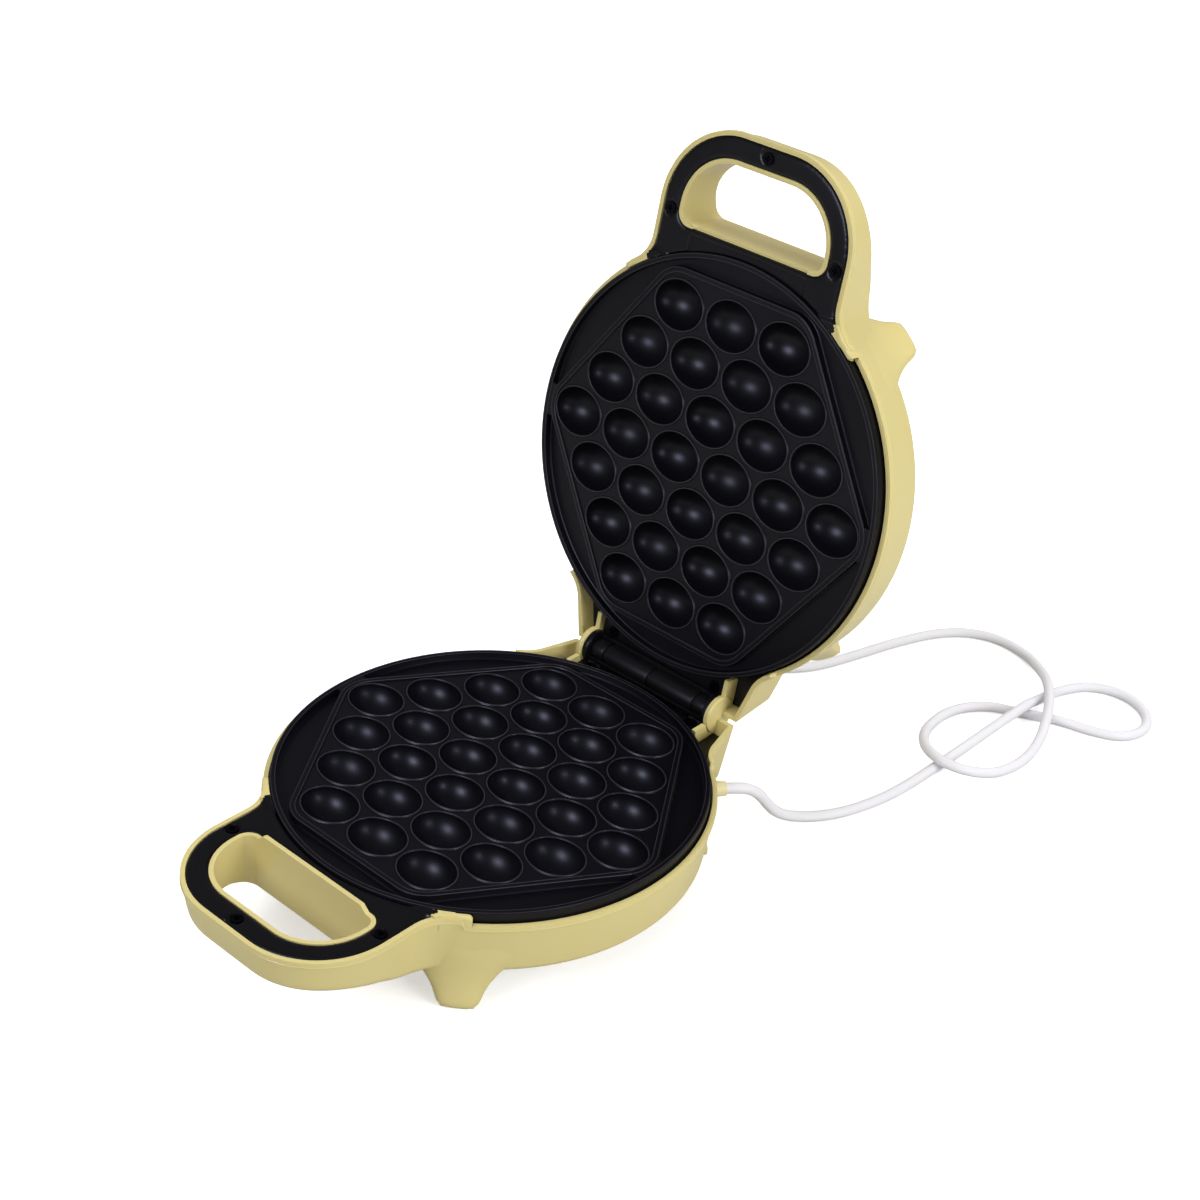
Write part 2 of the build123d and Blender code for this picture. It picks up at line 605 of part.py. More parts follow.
def add_barrels(body, is_lid):
    """The bracket's barrels on their arms: two long ones on the lid, one at each end on the base."""
    if is_lid:
        start, end = BARREL_GAP / 2, BARREL_GAP / 2 + CENTRE_BARREL
    else:
        start, end = BRACKET_END - END_BARREL, BRACKET_END
    arm_face = hinge_arm_face()
    body = body + trough(2 * BRACKET_END)
    body = body + across(start, end, lambda width: extrude(arm_face, width / 2, both=True))
    body = body + across(start, end, about_hinge(BARREL_RADIUS))
    return body - about_hinge(PIN_RADIUS + PIN_CLEARANCE)(3 * BRACKET_END)


# ---- Screws ----


def screws(places, head_depth, length):
    """Pan-head screws whose heads stand up from a depth, pointing down."""
    head = rod(HEAD_RADIUS, head_depth - HEAD_HEIGHT, head_depth)
    cross = Box(RECESS_LENGTH, RECESS_WIDTH, HEAD_HEIGHT) + Box(RECESS_WIDTH, RECESS_LENGTH, HEAD_HEIGHT)
    recess = Pos(0, 0, -head_depth + HEAD_HEIGHT) * cross
    shank = rod(SCREW_RADIUS, head_depth, head_depth + length)
    return Compound(children=[place * (head - recess + shank) for place in places])


def screws_from_below(places, head_depth, length):
    """The same screws with their heads under a face, pointing up."""
    head = rod(HEAD_RADIUS, head_depth, head_depth + HEAD_HEIGHT)
    shank = rod(SCREW_RADIUS, head_depth - length, head_depth)
    return Compound(children=[place * (head + shank) for place in places])


# ---- Inside ----


def heater():
    """The tubular heater: an open ring under the cells, its two cold ends bent down."""
    tube = Pos(HEATER_RADIUS, 0, 0) * Plane.XZ * Circle(HEATER_TUBE)
    ring = revolve(tube, Axis.Z, HEATER_ARC)
    body = ring
    for angle in (0, HEATER_ARC):
        end = Rot(0, 0, angle) * Pos(HEATER_RADIUS, 0, 0)
        body = body + end * (Sphere(HEATER_TUBE) + Pos(0, 0, -HEATER_END / 2) * Cylinder(HEATER_TUBE, HEATER_END))
    return Rot(0, 0, 90 + (360 - HEATER_ARC) / 2) * Pos(0, 0, -HEATER_DEPTH) * body


def heater_ends():
    """Where the heater's cold ends pass through the reflector pan."""
    half_gap = (360 - HEATER_ARC) / 2
    return [Rot(0, 0, 90 + side * half_gap) * Pos(HEATER_RADIUS, 0, 0) for side in (-1, 1)]


def reflector():
    """The thin sheet pan under the heater, open for the thermostat and the heater's ends."""
    t = PAN_THICKNESS
    rim_radius = PAN_FLOOR_RADIUS + PAN_SLOPE
    profile = Plane.XZ * Polyline(
        (0, -PAN_BOTTOM),
        (PAN_FLOOR_RADIUS, -PAN_BOTTOM),
        (rim_radius, -PAN_BOTTOM + PAN_RIM),
        (rim_radius - t, -PAN_BOTTOM + PAN_RIM),
        (PAN_FLOOR_RADIUS - t, -PAN_TOP),
        (0, -PAN_TOP),
        close=True,
    )
    pan = revolve(make_face(profile), Axis.Z)
    pan = pan - rod(THERMOSTAT_RADIUS + THERMOSTAT_HOLE_GAP, 0, HOUSING_DEPTH)
    pan = pan - [place * rod(HEATER_TUBE + SEAT_GAP, 0, HOUSING_DEPTH) for place in heater_ends()]
    return pan - [place * rod(SCREW_RADIUS + SCREW_CLEARANCE, 0, HOUSING_DEPTH) for place in spacer_places()]


def thermostat():
    """A snap-disc thermostat under the plate's middle: cap, body and two blades."""
    cap = rod(THERMOSTAT_RADIUS, PLATE_BOTTOM, PLATE_BOTTOM + THERMOSTAT_HEIGHT / 2)
    body = rod(THERMOSTAT_RADIUS - 1, PLATE_BOTTOM + THERMOSTAT_HEIGHT / 2, PLATE_BOTTOM + THERMOSTAT_HEIGHT)
    blade = Pos(0, 0, -PLATE_BOTTOM - THERMOSTAT_HEIGHT) * Box(BLADE_THICKNESS, BLADE_WIDTH, BLADE_LENGTH)
    return cap + body + [Pos(side * BLADE_SPACE / 2, 0, 0) * blade for side in (-1, 1)]


def thermal_fuse():
    """The axial thermal cut-out under the reflector pan."""
    depth = PAN_BOTTOM + SEAT_GAP + FUSE_RADIUS
    body = Rot(0, 90, 0) * Cylinder(FUSE_RADIUS, FUSE_LENGTH / 2)
    body = body + Rot(0, 90, 0) * Cylinder(FUSE_LEAD_RADIUS, FUSE_LENGTH)
    return Pos(0, -FUSE_FROM_CENTRE, -depth) * body


def terminal_block():
    """The mains terminal block on the base's floor, near the cord's entry."""
    block = Pos(0, 0, -INNER_FLOOR + BLOCK_HEIGHT / 2) * Box(BLOCK_WIDTH, BLOCK_LENGTH, BLOCK_HEIGHT)
    bore = Cylinder(BLOCK_BORE, BLOCK_HEIGHT)
    for i in (-1, 0, 1):
        block = block - Pos(0, i * BLOCK_BORE_STEP, -INNER_FLOOR + BLOCK_HEIGHT) * bore
    return Rot(0, 0, RELIEF_ANGLE) * Pos(BLOCK_FROM_CENTRE, 0, 0) * block


def lens_places():
    """The two indicator windows on the lid, side by side."""
    return [Pos(side * LENS_SPACING / 2, -LENS_FROM_CENTRE, 0) for side in (-1, 1)]


def lens():
    """One indicator window: a disc in the lid's wall with a shallow dome outside."""
    body = rod(LENS_RADIUS - THREAD_CLEARANCE, INNER_FLOOR, HOUSING_DEPTH)
    ball_radius = (LENS_RADIUS**2 + LENS_DOME**2) / (2 * LENS_DOME)
    ball = Pos(0, 0, -HOUSING_DEPTH - LENS_DOME + ball_radius) * Sphere(ball_radius)
    return body + (ball & rod(LENS_RADIUS - THREAD_CLEARANCE, HOUSING_DEPTH, HOUSING_DEPTH + 2 * LENS_DOME))


def lamp():
    """One neon indicator lamp behind its window."""
    top = INNER_FLOOR - LAMP_GAP - LAMP_LENGTH
    bulb = rod(LAMP_RADIUS, top + LAMP_RADIUS, INNER_FLOOR - LAMP_GAP)
    return bulb + Pos(0, 0, -top - LAMP_RADIUS) * Sphere(LAMP_RADIUS)


# ---- Cord ----


def relief_place():
    """The strain relief's place in the base's wall, X pointing outwards."""
    wall_radius = HOUSING_RADIUS - draft_inset(RELIEF_DROP)
    return Rot(0, 0, RELIEF_ANGLE) * Pos(wall_radius, 0, -RELIEF_DROP)


def strain_relief():
    """The moulded strain relief: a grip in the wall, a collar and a tapered stub outside."""
    inside = Pos(-RELIEF_IN / 2, 0, 0) * Rot(0, 90, 0) * Cylinder(RELIEF_RADIUS, RELIEF_IN)
    collar = Pos(SEAT_GAP + COLLAR_THICKNESS / 2 + WALL / 2, 0, 0) * Rot(0, 90, 0)
    collar = collar * Cylinder(COLLAR_RADIUS, COLLAR_THICKNESS)
    stub = Pos(RELIEF_OUT / 2, 0, 0) * Rot(0, 90, 0) * Cone(RELIEF_RADIUS, RELIEF_TIP_RADIUS, RELIEF_OUT)
    return relief_place() * (inside + collar + stub)


# Centre line of the cord, from its exit to the plug: X, Y and the height over the table. It drops
# from the relief, lies in three loose crossings and ends behind the lid.
LIE = CORD_DIAMETER / 2
OVER = 3 * LIE + CROSSING_GAP
CORD_ROUTE = [
    (78.3, 97.7, 36.4),
    (80.4, 102.3, 33.1),
    (81.4, 106.5, 28.3),
    (82.0, 110.8, 22.2),
    (82.8, 116.3, 15.6),
    (84.3, 123.2, 10.1),
    (87.1, 131.8, 6.1),
    (91.5, 141.6, 3.6),
    (97.5, 154.0, LIE),
    (103.0, 171.0, LIE),
    (106.7, 192.0, LIE),
    (107.6, 226.0, LIE),
    (107.8, 255.0, LIE),
    (110.5, 274.0, 6.5),
    (112.3, 287.0, OVER),
    (112.3, 300.0, OVER),
    (110.5, 317.0, 3.2),
    (113.0, 333.0, LIE),
    (122.0, 350.0, LIE),
    (140.0, 357.0, LIE),
    (157.5, 351.0, LIE),
    (167.0, 336.0, LIE),
    (162.5, 320.0, LIE),
    (146.0, 311.5, LIE),
    (128.5, 308.0, LIE),
    (112.0, 298.5, LIE),
    (93.7, 291.0, LIE),
    (82.0, 272.5, LIE),
    (82.5, 250.0, LIE),
    (90.0, 234.0, 6.0),
    (101.2, 223.3, OVER),
    (115.0, 221.0, OVER),
    (127.0, 229.0, 6.0),
    (134.0, 243.0, LIE),
    (136.8, 262.0, LIE),
    (134.0, 280.0, 5.0),
    (127.5, 296.0, OVER),
    (118.8, 312.4, OVER),
    (108.5, 326.5, OVER + 0.6),
    (96.0, 339.0, 5.5),
    (80.0, 350.0, LIE),
    (60.0, 352.5, LIE),
    (43.0, 345.0, LIE),
    (30.3, 329.0, LIE),
    (20.5, 303.0, LIE),
    (12.6, 273.0, LIE),
    (4.5, 248.0, LIE),
    (-10.0, 231.0, LIE),
    (-30.0, 222.0, LIE),
    (-52.0, 224.0, LIE),
    (-70.0, 236.0, LIE),
    (-84.0, 253.0, 4.2),
    (-95.0, 273.0, PLUG_THICKNESS / 2 + SEAT_GAP / 2),
    (-104.0, 296.0, PLUG_THICKNESS / 2 + SEAT_GAP / 2),
]


def route_points():
    """The whole centre line in the closed pan's frame, starting at the relief's tip."""
    straight = [(relief_place() * Pos(out, 0, 0)).position for out in (RELIEF_OUT, RELIEF_OUT + CORD_LEAD)]
    return straight + [Vector(x, y, height - TABLE_DEPTH) for x, y, height in CORD_ROUTE]


def bend_radii(points):
    """The arc radius at each inner point: as large as the shorter of its two runs allows."""
    radii = []
    for before, here, after in zip(points, points[1:], points[2:]):
        turn = math.radians((here - before).get_angle(after - here))
        shorter = min((here - before).length, (after - here).length)
        radii.append(RUN_SHARE * shorter / math.tan(turn / 2))
    return radii


def cord():
    """The cord as a round tube: straight runs joined by tangent arcs."""
    points = route_points()
    path = FilletPolyline(*points, radius=bend_radii(points))
    section = Plane(origin=points[0], z_dir=points[1] - points[0]) * Circle(CORD_DIAMETER / 2)
    print("cord bend radii", [round(r, 1) for r in bend_radii(points)])
    print("cord length", round(path.length, 1))
    return sweep(section, path=path)


def flat_plug_place():
    """The plug's place at the cord's end: it lies level, X pointing on along the cord."""
    before, end = route_points()[-2:]
    return Pos(end) * Rot(0, 0, math.degrees(math.atan2(end.Y - before.Y, end.X - before.X)))


def plug():
    """The flat two-pin plug: a tapered sleeve and a body that narrows at its waist."""
    half = PLUG_WIDTH / 2
    waist_half = PLUG_WAIST / 2
    neck_half = PLUG_NECK / 2
    start = PLUG_SLEEVE - PLUG_OVERLAP
    end = PLUG_SLEEVE + PLUG_LENGTH
    waist = end - PLUG_HEAD
    shoulder = end - PLUG_ROUND
    face = make_face(
        Polyline(
            (start, -neck_half),
            (waist, -waist_half),
            (shoulder, -half),
            (end, -half),
            (end, half),
            (shoulder, half),
            (waist, waist_half),
            (start, neck_half),
            close=True,
        )
    )
    body = extrude(face, PLUG_THICKNESS / 2, both=True)
    body = fillet(body.edges().filter_by(Axis.Z).group_by(Axis.X)[0], PLUG_ROUND)
    body = fillet(body.faces().sort_by(Axis.X)[-1].edges(), PLUG_ROUND / 2)
    sleeve = Cone(CORD_DIAMETER / 2 + SLEEVE_WALL, PLUG_THICKNESS / 2 - SLEEVE_WALL, PLUG_SLEEVE)
    sleeve = Pos(PLUG_SLEEVE / 2, 0, 0) * Rot(0, 90, 0) * sleeve
    body = body + sleeve
    pin_hole = Pos(end, 0, 0) * Rot(0, 90, 0) * Cylinder(PLUG_PIN_RADIUS + THREAD_CLEARANCE, PLUG_PIN_LENGTH)
    return flat_plug_place() * (body - [Pos(0, side * PLUG_PIN_SPACE / 2, 0) * pin_hole for side in (-1, 1)])


def plug_pins():
    """The plug's two round pins, set half their length into the body."""
    end = PLUG_SLEEVE + PLUG_LENGTH
    pin = Rot(0, 90, 0) * Cylinder(PLUG_PIN_RADIUS, PLUG_PIN_LENGTH * 1.5)
    pin = fillet(pin.edges().group_by(Axis.X)[-1], PLUG_PIN_RADIUS / 2)
    place = flat_plug_place() * Pos(end + PLUG_PIN_LENGTH * 0.25, 0, 0)
    return Compound(children=[place * Pos(0, side * PLUG_PIN_SPACE / 2, 0) * pin for side in (-1, 1)])


# ---- Assembly ----


def swing_open(shape):
    """A lower piece turned into the lid's: mirrored over the parting plane and swung open."""
    return mirror(shape, about=Plane.XY).rotate(HINGE_AXIS, -OPEN_ANGLE)


def as_drawn(shape):
    """A base piece stays where it is drawn."""
    return shape


def half_nodes(is_lid):
    """The pieces that both halves have, by name."""
    insert_seat = INSERT_DROP + HEAD_SINK
    bracket_seat = BRACKET_DROP + HEAD_SINK
    insert_length = FRAME_THICKNESS - HEAD_SINK + BOSS_THREAD - SEAT_GAP
    bracket_length = FRAME_BOTTOM - bracket_seat + BOSS_THREAD - SEAT_GAP
    stud_length = FRAME_THICKNESS + STUD_THREAD - SEAT_GAP
    spacer_length = PAN_THICKNESS + PAN_TOP - PLATE_BOTTOM - SEAT_GAP
    return {
        "housing": housing(is_lid),
        "frame": frame(is_lid),
        "plate": plate(),
        "plate_screws": screws_from_below(stud_places(), FRAME_BOTTOM, stud_length),
        "handle_screws": screws(handle_screw_places(), insert_seat, insert_length),
        "hinge_screws": screws(hinge_screw_places(), bracket_seat, bracket_length),
        "heating_element": heater(),
        "reflector": reflector(),
        "reflector_screws": screws_from_below(spacer_places(), PAN_BOTTOM, spacer_length),
        "thermostat": thermostat(),
        "thermal_fuse": thermal_fuse(),
    }


def base_nodes():
    """The pieces that only the base carries, by name."""
    return {
        "hinge_pin": about_hinge(PIN_RADIUS)(2 * BRACKET_END),
        "terminal_block": terminal_block(),
        "strain_relief": strain_relief(),
        "cord": cord(),
        "plug": plug(),
        "plug_pins": plug_pins(),
    }


def lid_nodes():
    """The pieces that only the lid carries, by name."""
    return {
        "indicator_lenses": Compound(children=[place * lens() for place in lens_places()]),
        "indicator_lamps": Compound(children=[place * lamp() for place in lens_places()]),
    }


CORD_NODES = ("cord", "plug", "plug_pins")


def main():
    """Build every node, set the origin under the middle of the open pan and write the files."""
    nodes = {f"lower_{name}": as_drawn(shape) for name, shape in half_nodes(False).items()}
    nodes |= {f"upper_{name}": swing_open(shape) for name, shape in half_nodes(True).items()}
    nodes |= {name: as_drawn(shape) for name, shape in base_nodes().items()}
    nodes |= {name: swing_open(shape) for name, shape in lid_nodes().items()}
    box = Compound(children=[copy.copy(s) for n, s in nodes.items() if n not in CORD_NODES]).bounding_box()
    shift = Pos(-box.center().X, -box.center().Y, -box.min.Z)
    os.makedirs("parts", exist_ok=True)
    for name, shape in nodes.items():
        export_step(shift * shape, f"parts/{name}.step")
    print("shift", shift.position, "box", box)
    print("hinge", shift * Pos(0, HINGE_Y, 0))
    print("cord points", [tuple(round(v, 2) for v in (shift * Pos(p)).position) for p in route_points()])


main()
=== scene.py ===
"""Looks of an egg waffle pan: two hinged halves with cast egg-cell plates, and a mains cord.

Sizes are in millimetres in the closed pan's own frame, as the maker draws it: X along the hinge pin,
Y from the handle to the hinge, Z up from the parting plane. place() turns them into metres in the
frame of the open appliance that stands on its feet.
"""

import logging
import math
from dataclasses import dataclass
from enum import Enum

import bmesh
import bpy
import numpy as np
from mathutils import Euler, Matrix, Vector

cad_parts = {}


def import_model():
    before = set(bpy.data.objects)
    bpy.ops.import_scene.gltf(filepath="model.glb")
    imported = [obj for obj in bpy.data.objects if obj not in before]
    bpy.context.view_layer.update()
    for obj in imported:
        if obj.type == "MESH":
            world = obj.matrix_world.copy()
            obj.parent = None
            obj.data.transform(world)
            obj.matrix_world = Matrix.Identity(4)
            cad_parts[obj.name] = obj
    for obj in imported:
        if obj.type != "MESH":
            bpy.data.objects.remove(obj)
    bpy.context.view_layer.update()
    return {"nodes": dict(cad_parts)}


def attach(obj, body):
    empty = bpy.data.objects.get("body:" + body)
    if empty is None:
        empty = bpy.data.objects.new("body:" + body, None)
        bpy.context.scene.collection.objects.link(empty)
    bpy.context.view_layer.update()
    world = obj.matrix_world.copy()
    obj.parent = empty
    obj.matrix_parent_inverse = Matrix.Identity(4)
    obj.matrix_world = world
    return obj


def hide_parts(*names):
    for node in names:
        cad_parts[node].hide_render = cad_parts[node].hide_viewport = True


logging.basicConfig(level=logging.INFO, format="%(message)s")
LOG = logging.getLogger("egg_waffle_pan")

MM = 0.001
HINGE_Y = 115.05
ROW_SHIFT = np.array([0.0, -22.6813, 54.0])
OPEN_ANGLE = math.radians(101.0)


class Half(Enum):
    """The two halves of the pan, with the word that starts their nodes' names."""

    BASE = "lower"
    LID = "upper"

    @property
    def body(self) -> str:
        """The moving body that carries this half."""
        return "base" if self is Half.BASE else "lid"

    def node(self, piece: str) -> str:
        """The name of this half's own piece."""
        return f"{self.value}_{piece}"


def place(points: np.ndarray, half: Half = Half.BASE) -> np.ndarray:
    """Carry points from the closed pan's lower half to where the open pan has them.

    The lid's points are mirrored over the parting plane, z -> -z, and swung about the hinge axis.

    Args:
        points: Array whose last axis is x, y and z in millimetres, drawn as on the lower half.
        half: The half that the points belong to.

    Returns:
        The same points in metres.
    """
    points = np.asarray(points, dtype=float).copy()
    if half is Half.LID:
        across = points[..., 1] - HINGE_Y
        above = -points[..., 2]
        points[..., 1] = HINGE_Y + across * math.cos(OPEN_ANGLE) + above * math.sin(OPEN_ANGLE)
        points[..., 2] = -across * math.sin(OPEN_ANGLE) + above * math.cos(OPEN_ANGLE)
    return (points + ROW_SHIFT) * MM


# ---- Surfaces worked out as arrays, in the closed pan's frame ----


def arc(centre: tuple, radius: float, start: float, end: float, step: float = 1.2) -> np.ndarray:
    """Sample an arc: the centre plus the radius times (cos a, sin a), a running evenly.

    Args:
        centre: X and Y of the arc's centre.
        radius: The arc's radius.
        start: First angle in degrees.
        end: Last angle in degrees.
        step: Rough distance between neighbours in millimetres.

    Returns:
        Points of the arc, one row each.
    """
    count = max(4, round(abs(math.radians(end - start)) * radius / step) + 1)
    angle = np.radians(np.linspace(start, end, count))
    return np.array(centre) + radius * np.stack([np.cos(angle), np.sin(angle)], axis=-1)


def even(path: np.ndarray, step: float) -> np.ndarray:
    """Space a path's points evenly: each coordinate is read off against the length run so far.

    Args:
        path: Points in the plane, one row each.
        step: Rough distance between neighbours in millimetres.

    Returns:
        The same path with even spacing.
    """
    run = np.concatenate([[0.0], np.cumsum(np.linalg.norm(np.diff(path, axis=0), axis=1))])
    at = np.linspace(0.0, run[-1], max(4, round(run[-1] / step) + 1))
    return np.stack([np.interp(at, run, path[:, axis]) for axis in (0, 1)], axis=-1)


def outward(path: np.ndarray, closed: bool) -> np.ndarray:
    """Unit normals to the right of a path: its tangent (tx, ty) turned to (ty, -tx).

    Args:
        path: Points in the plane, anticlockwise for normals that point outwards.
        closed: Whether the last point is followed by the first.

    Returns:
        One unit normal for each point.
    """
    if closed:
        tangent = np.roll(path, -1, axis=0) - np.roll(path, 1, axis=0)
    else:
        tangent = np.gradient(path, axis=0)
    tangent = tangent / np.linalg.norm(tangent, axis=1, keepdims=True)
    return np.stack([tangent[:, 1], -tangent[:, 0]], axis=-1)


def carry(path: np.ndarray, profile: np.ndarray, levels: np.ndarray | float, closed: bool) -> np.ndarray:
    """Carry a profile along a path: point plus u times the outward normal, and level plus v.

    Args:
        path: Points in the plane, one row each.
        profile: Offsets u outwards and v upwards, one row each.
        levels: Height of the profile's origin, for the path or for each of its points.
        closed: Whether the path closes on itself.

    Returns:
        A grid of points, path along the rows and profile along the columns.
    """
    normal = outward(path, closed)
    plan = path[:, None, :] + profile[None, :, :1] * normal[:, None, :]
    height = np.broadcast_to(np.asarray(levels, dtype=float), len(path))[:, None] + profile[None, :, 1]
    return np.concatenate([plan, height[..., None]], axis=-1)


def grid_faces(rows: int, columns: int, wrap_rows: bool, wrap_columns: bool) -> np.ndarray:
    """Number the quads of a grid: each joins a point, the next in its row and the two beyond.

    Args:
        rows: Points along the first parameter.
        columns: Points along the second.
        wrap_rows: Whether the last row is followed by the first.
        wrap_columns: Whether the last column is followed by the first.

    Returns:
        Four vertex numbers for each quad.
    """
    row, column = np.meshgrid(
        np.arange(rows - (not wrap_rows)), np.arange(columns - (not wrap_columns)), indexing="ij"
    )
    row_next, column_next = (row + 1) % rows, (column + 1) % columns
    corners = [
        row * columns + column,
        row_next * columns + column,
        row_next * columns + column_next,
        row * columns + column_next,
    ]
    return np.stack(corners, axis=-1).reshape(-1, 4)


def tube(path: np.ndarray, height: float, radius: float, sides: int = 6) -> np.ndarray:
    """A thin round bead along a closed path at one height, as a grid of points.

    Args:
        path: Points in the plane, one row each.
        height: Height of the bead's middle.
        radius: The bead's radius.
        sides: Points round it.

    Returns:
        Points by place along the path and turn round it.
    """
    turn = full_turn(sides)
    return carry(path, radius * np.stack([np.cos(turn), np.sin(turn)], axis=-1), height, closed=True)


def turned(profile: np.ndarray, turns: int = 48) -> np.ndarray:
    """Turn a profile about the hinge axis: (x, r) goes to x, HINGE_Y + r cos t, r sin t.

    Args:
        profile: Distances along the axis and radii, one row each.
        turns: Points round the axis.

    Returns:
        Points by turn and place along the profile.
    """
    turn = full_turn(turns)[:, None]
    x = np.broadcast_to(profile[:, 0], (turns, len(profile)))
    return np.stack([x, HINGE_Y + profile[:, 1] * np.cos(turn), profile[:, 1] * np.sin(turn)], axis=-1)


def full_turn(count: int) -> np.ndarray:
    """Angles of one full turn in even steps, the last step back to the first left out."""
    return np.linspace(0, 2 * math.pi, count, endpoint=False)


def roll_off(share: np.ndarray) -> np.ndarray:
    """A quarter ellipse's fall, 1 - sqrt(1 - (1 - s)^2): 1 on the edge, and 0 from where s is 1."""
    return 1 - np.sqrt(1 - (1 - np.clip(share, 0, 1)) ** 2)


def ease(share: np.ndarray) -> np.ndarray:
    """A smooth step, 3 s^2 - 2 s^3, with s held between 0 and 1."""
    held = np.clip(share, 0, 1)
    return held * held * (3 - 2 * held)


def signed_power(values: np.ndarray, power: float) -> np.ndarray:
    """The size of each value raised to a power, with its sign kept."""
    return np.sign(values) * np.abs(values) ** power


def area_vectors(points: np.ndarray, faces: np.ndarray) -> np.ndarray:
    """Twice the area vector of each quad: the cross product of its two diagonals."""
    return np.cross(points[faces[:, 2]] - points[faces[:, 0]], points[faces[:, 3]] - points[faces[:, 1]])


class Form:
    """A mesh in the making: patches of points in the closed pan's frame, with their faces."""

    def __init__(self) -> None:
        """Start with no patch."""
        self.points: list = []
        self.faces: list = []
        self.count = 0

    def add(self, points: np.ndarray, faces: np.ndarray, facing: tuple | None = (0, 0, 1)) -> None:
        """Add a patch, turned so that it faces one way on the whole.

        Args:
            points: Its points, one row each.
            faces: Four vertex numbers for each quad.
            facing: The way that the patch's faces look, or None for a patch that closes on itself.
        """
        if facing is not None and (area_vectors(points, faces).sum(axis=0) @ np.array(facing)) < 0:
            faces = faces[:, ::-1]
        self.points.append(points)
        self.faces.append(faces + self.count)
        self.count += len(points)

    def add_grid(
        self, grid: np.ndarray, wrap_rows: bool = False, wrap_columns: bool = False, **facing: tuple | None
    ) -> None:
        """Add a grid of points as a patch.

        Args:
            grid: Points by row and column.
            wrap_rows: Whether the last row is followed by the first.
            wrap_columns: Whether the last column is followed by the first.
            facing: The way that it faces, as add() takes it.
        """
        rows, columns = grid.shape[:2]
        self.add(grid.reshape(-1, 3), grid_faces(rows, columns, wrap_rows, wrap_columns), **facing)

    @classmethod
    def of(cls, *grids: np.ndarray, **settings: bool | tuple | None) -> "Form":
        """Start a form from grids of points.

        Args:
            grids: The grids, by row and column.
            settings: How add_grid() takes every one of them.

        Returns:
            The form.
        """
        form = cls()
        for grid in grids:
            form.add_grid(grid, **settings)
        return form

    def build(
        self, name: str, half: Half, finish: "Finish", slot: str, sharp: float = 40.0, recalc: bool = False
    ) -> None:
        """Make the object: set in place, doubles merged, shaded smooth but for sharp edges.

        Args:
            name: The piece's name without its half.
            half: The half that carries it.
            finish: Its finish.
            slot: The name of a material slot; not used.
            sharp: Edges that turn by more than this many degrees stay sharp.
            recalc: Whether normals are worked out anew, for patches that close on themselves.
        """
        title = half.node(name)
        faces = np.concatenate(self.faces)
        if half is Half.LID:
            faces = faces[:, ::-1]
        mesh = bpy.data.meshes.new(title)
        mesh.from_pydata(place(np.concatenate(self.points), half).tolist(), [], faces.tolist())
        work = bmesh.new()
        work.from_mesh(mesh)
        bmesh.ops.remove_doubles(work, verts=work.verts, dist=0.002 * MM)
        if recalc:
            bmesh.ops.recalc_face_normals(work, faces=work.faces)
        work.to_mesh(mesh)
        work.free()
        mesh.polygons.foreach_set("use_smooth", [True] * len(mesh.polygons))
        mesh.set_sharp_from_angle(angle=math.radians(sharp))
        piece = bpy.data.objects.new(title, mesh)
        bpy.context.scene.collection.objects.link(piece)
        dress(piece, finish)
        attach(piece, half.body)
        LOG.info("%s: %d faces", title, len(mesh.polygons))


def distance_to(points: np.ndarray, outline: np.ndarray) -> np.ndarray:
    """Signed distance to a closed outline, negative inside.

    The distance is the least one to the outline's straight runs, each point dropped onto the run and
    held between its ends. The sign is the parity of the runs crossed by a ray along X.

    Args:
        points: Points in the plane, one row each.
        outline: The outline's corners, one row each.

    Returns:
        One distance for each point.
    """
    start, end = outline, np.roll(outline, -1, axis=0)
    run = end - start
    offset = points[:, None, :] - start[None]
    share = np.clip((offset * run).sum(-1) / (run**2).sum(-1), 0.0, 1.0)
    gap = np.sqrt(((offset - share[..., None] * run) ** 2).sum(-1)).min(axis=1)
    above = points[:, None, 1] > np.minimum(start[:, 1], end[:, 1])
    below = points[:, None, 1] <= np.maximum(start[:, 1], end[:, 1])
    rise = np.where(run[:, 1] == 0, 1e-9, run[:, 1])
    left_of = points[:, None, 0] < start[:, 0] + (points[:, None, 1] - start[:, 1]) * run[:, 0] / rise
    inside = (above & below & left_of).sum(axis=1) % 2 == 1
    return np.where(inside, -gap, gap)


# ---- Materials ----


def linear(code: str) -> tuple:
    """Turn an sRGB hex colour into the linear colour that a shader takes.

    Args:
        code: Six hex digits after a hash.

    Returns:
        Red, green and blue as linear values, and an alpha of 1.
    """
    parts = np.array([int(code[at : at + 2], 16) for at in (1, 3, 5)]) / 255
    parts = np.where(parts <= 0.04045, parts / 12.92, ((parts + 0.055) / 1.055) ** 2.4)
    return (*parts.tolist(), 1.0)


def add_node(tree: bpy.types.NodeTree, kind: str, inputs: dict, **settings: object) -> bpy.types.Node:
    """Add a node, set its properties and fill its inputs.

    Args:
        tree: The node tree that gets it.
        kind: The node's type name.
        inputs: Values, or output sockets to link, by the input's name or number.
        settings: Properties of the node itself.

    Returns:
        The new node.
    """
    node = tree.nodes.new(kind)
    for name, value in settings.items():
        setattr(node, name, value)
    for name, value in inputs.items():
        if isinstance(value, bpy.types.NodeSocket):
            tree.links.new(value, node.inputs[name])
        else:
            node.inputs[name].default_value = value
    return node


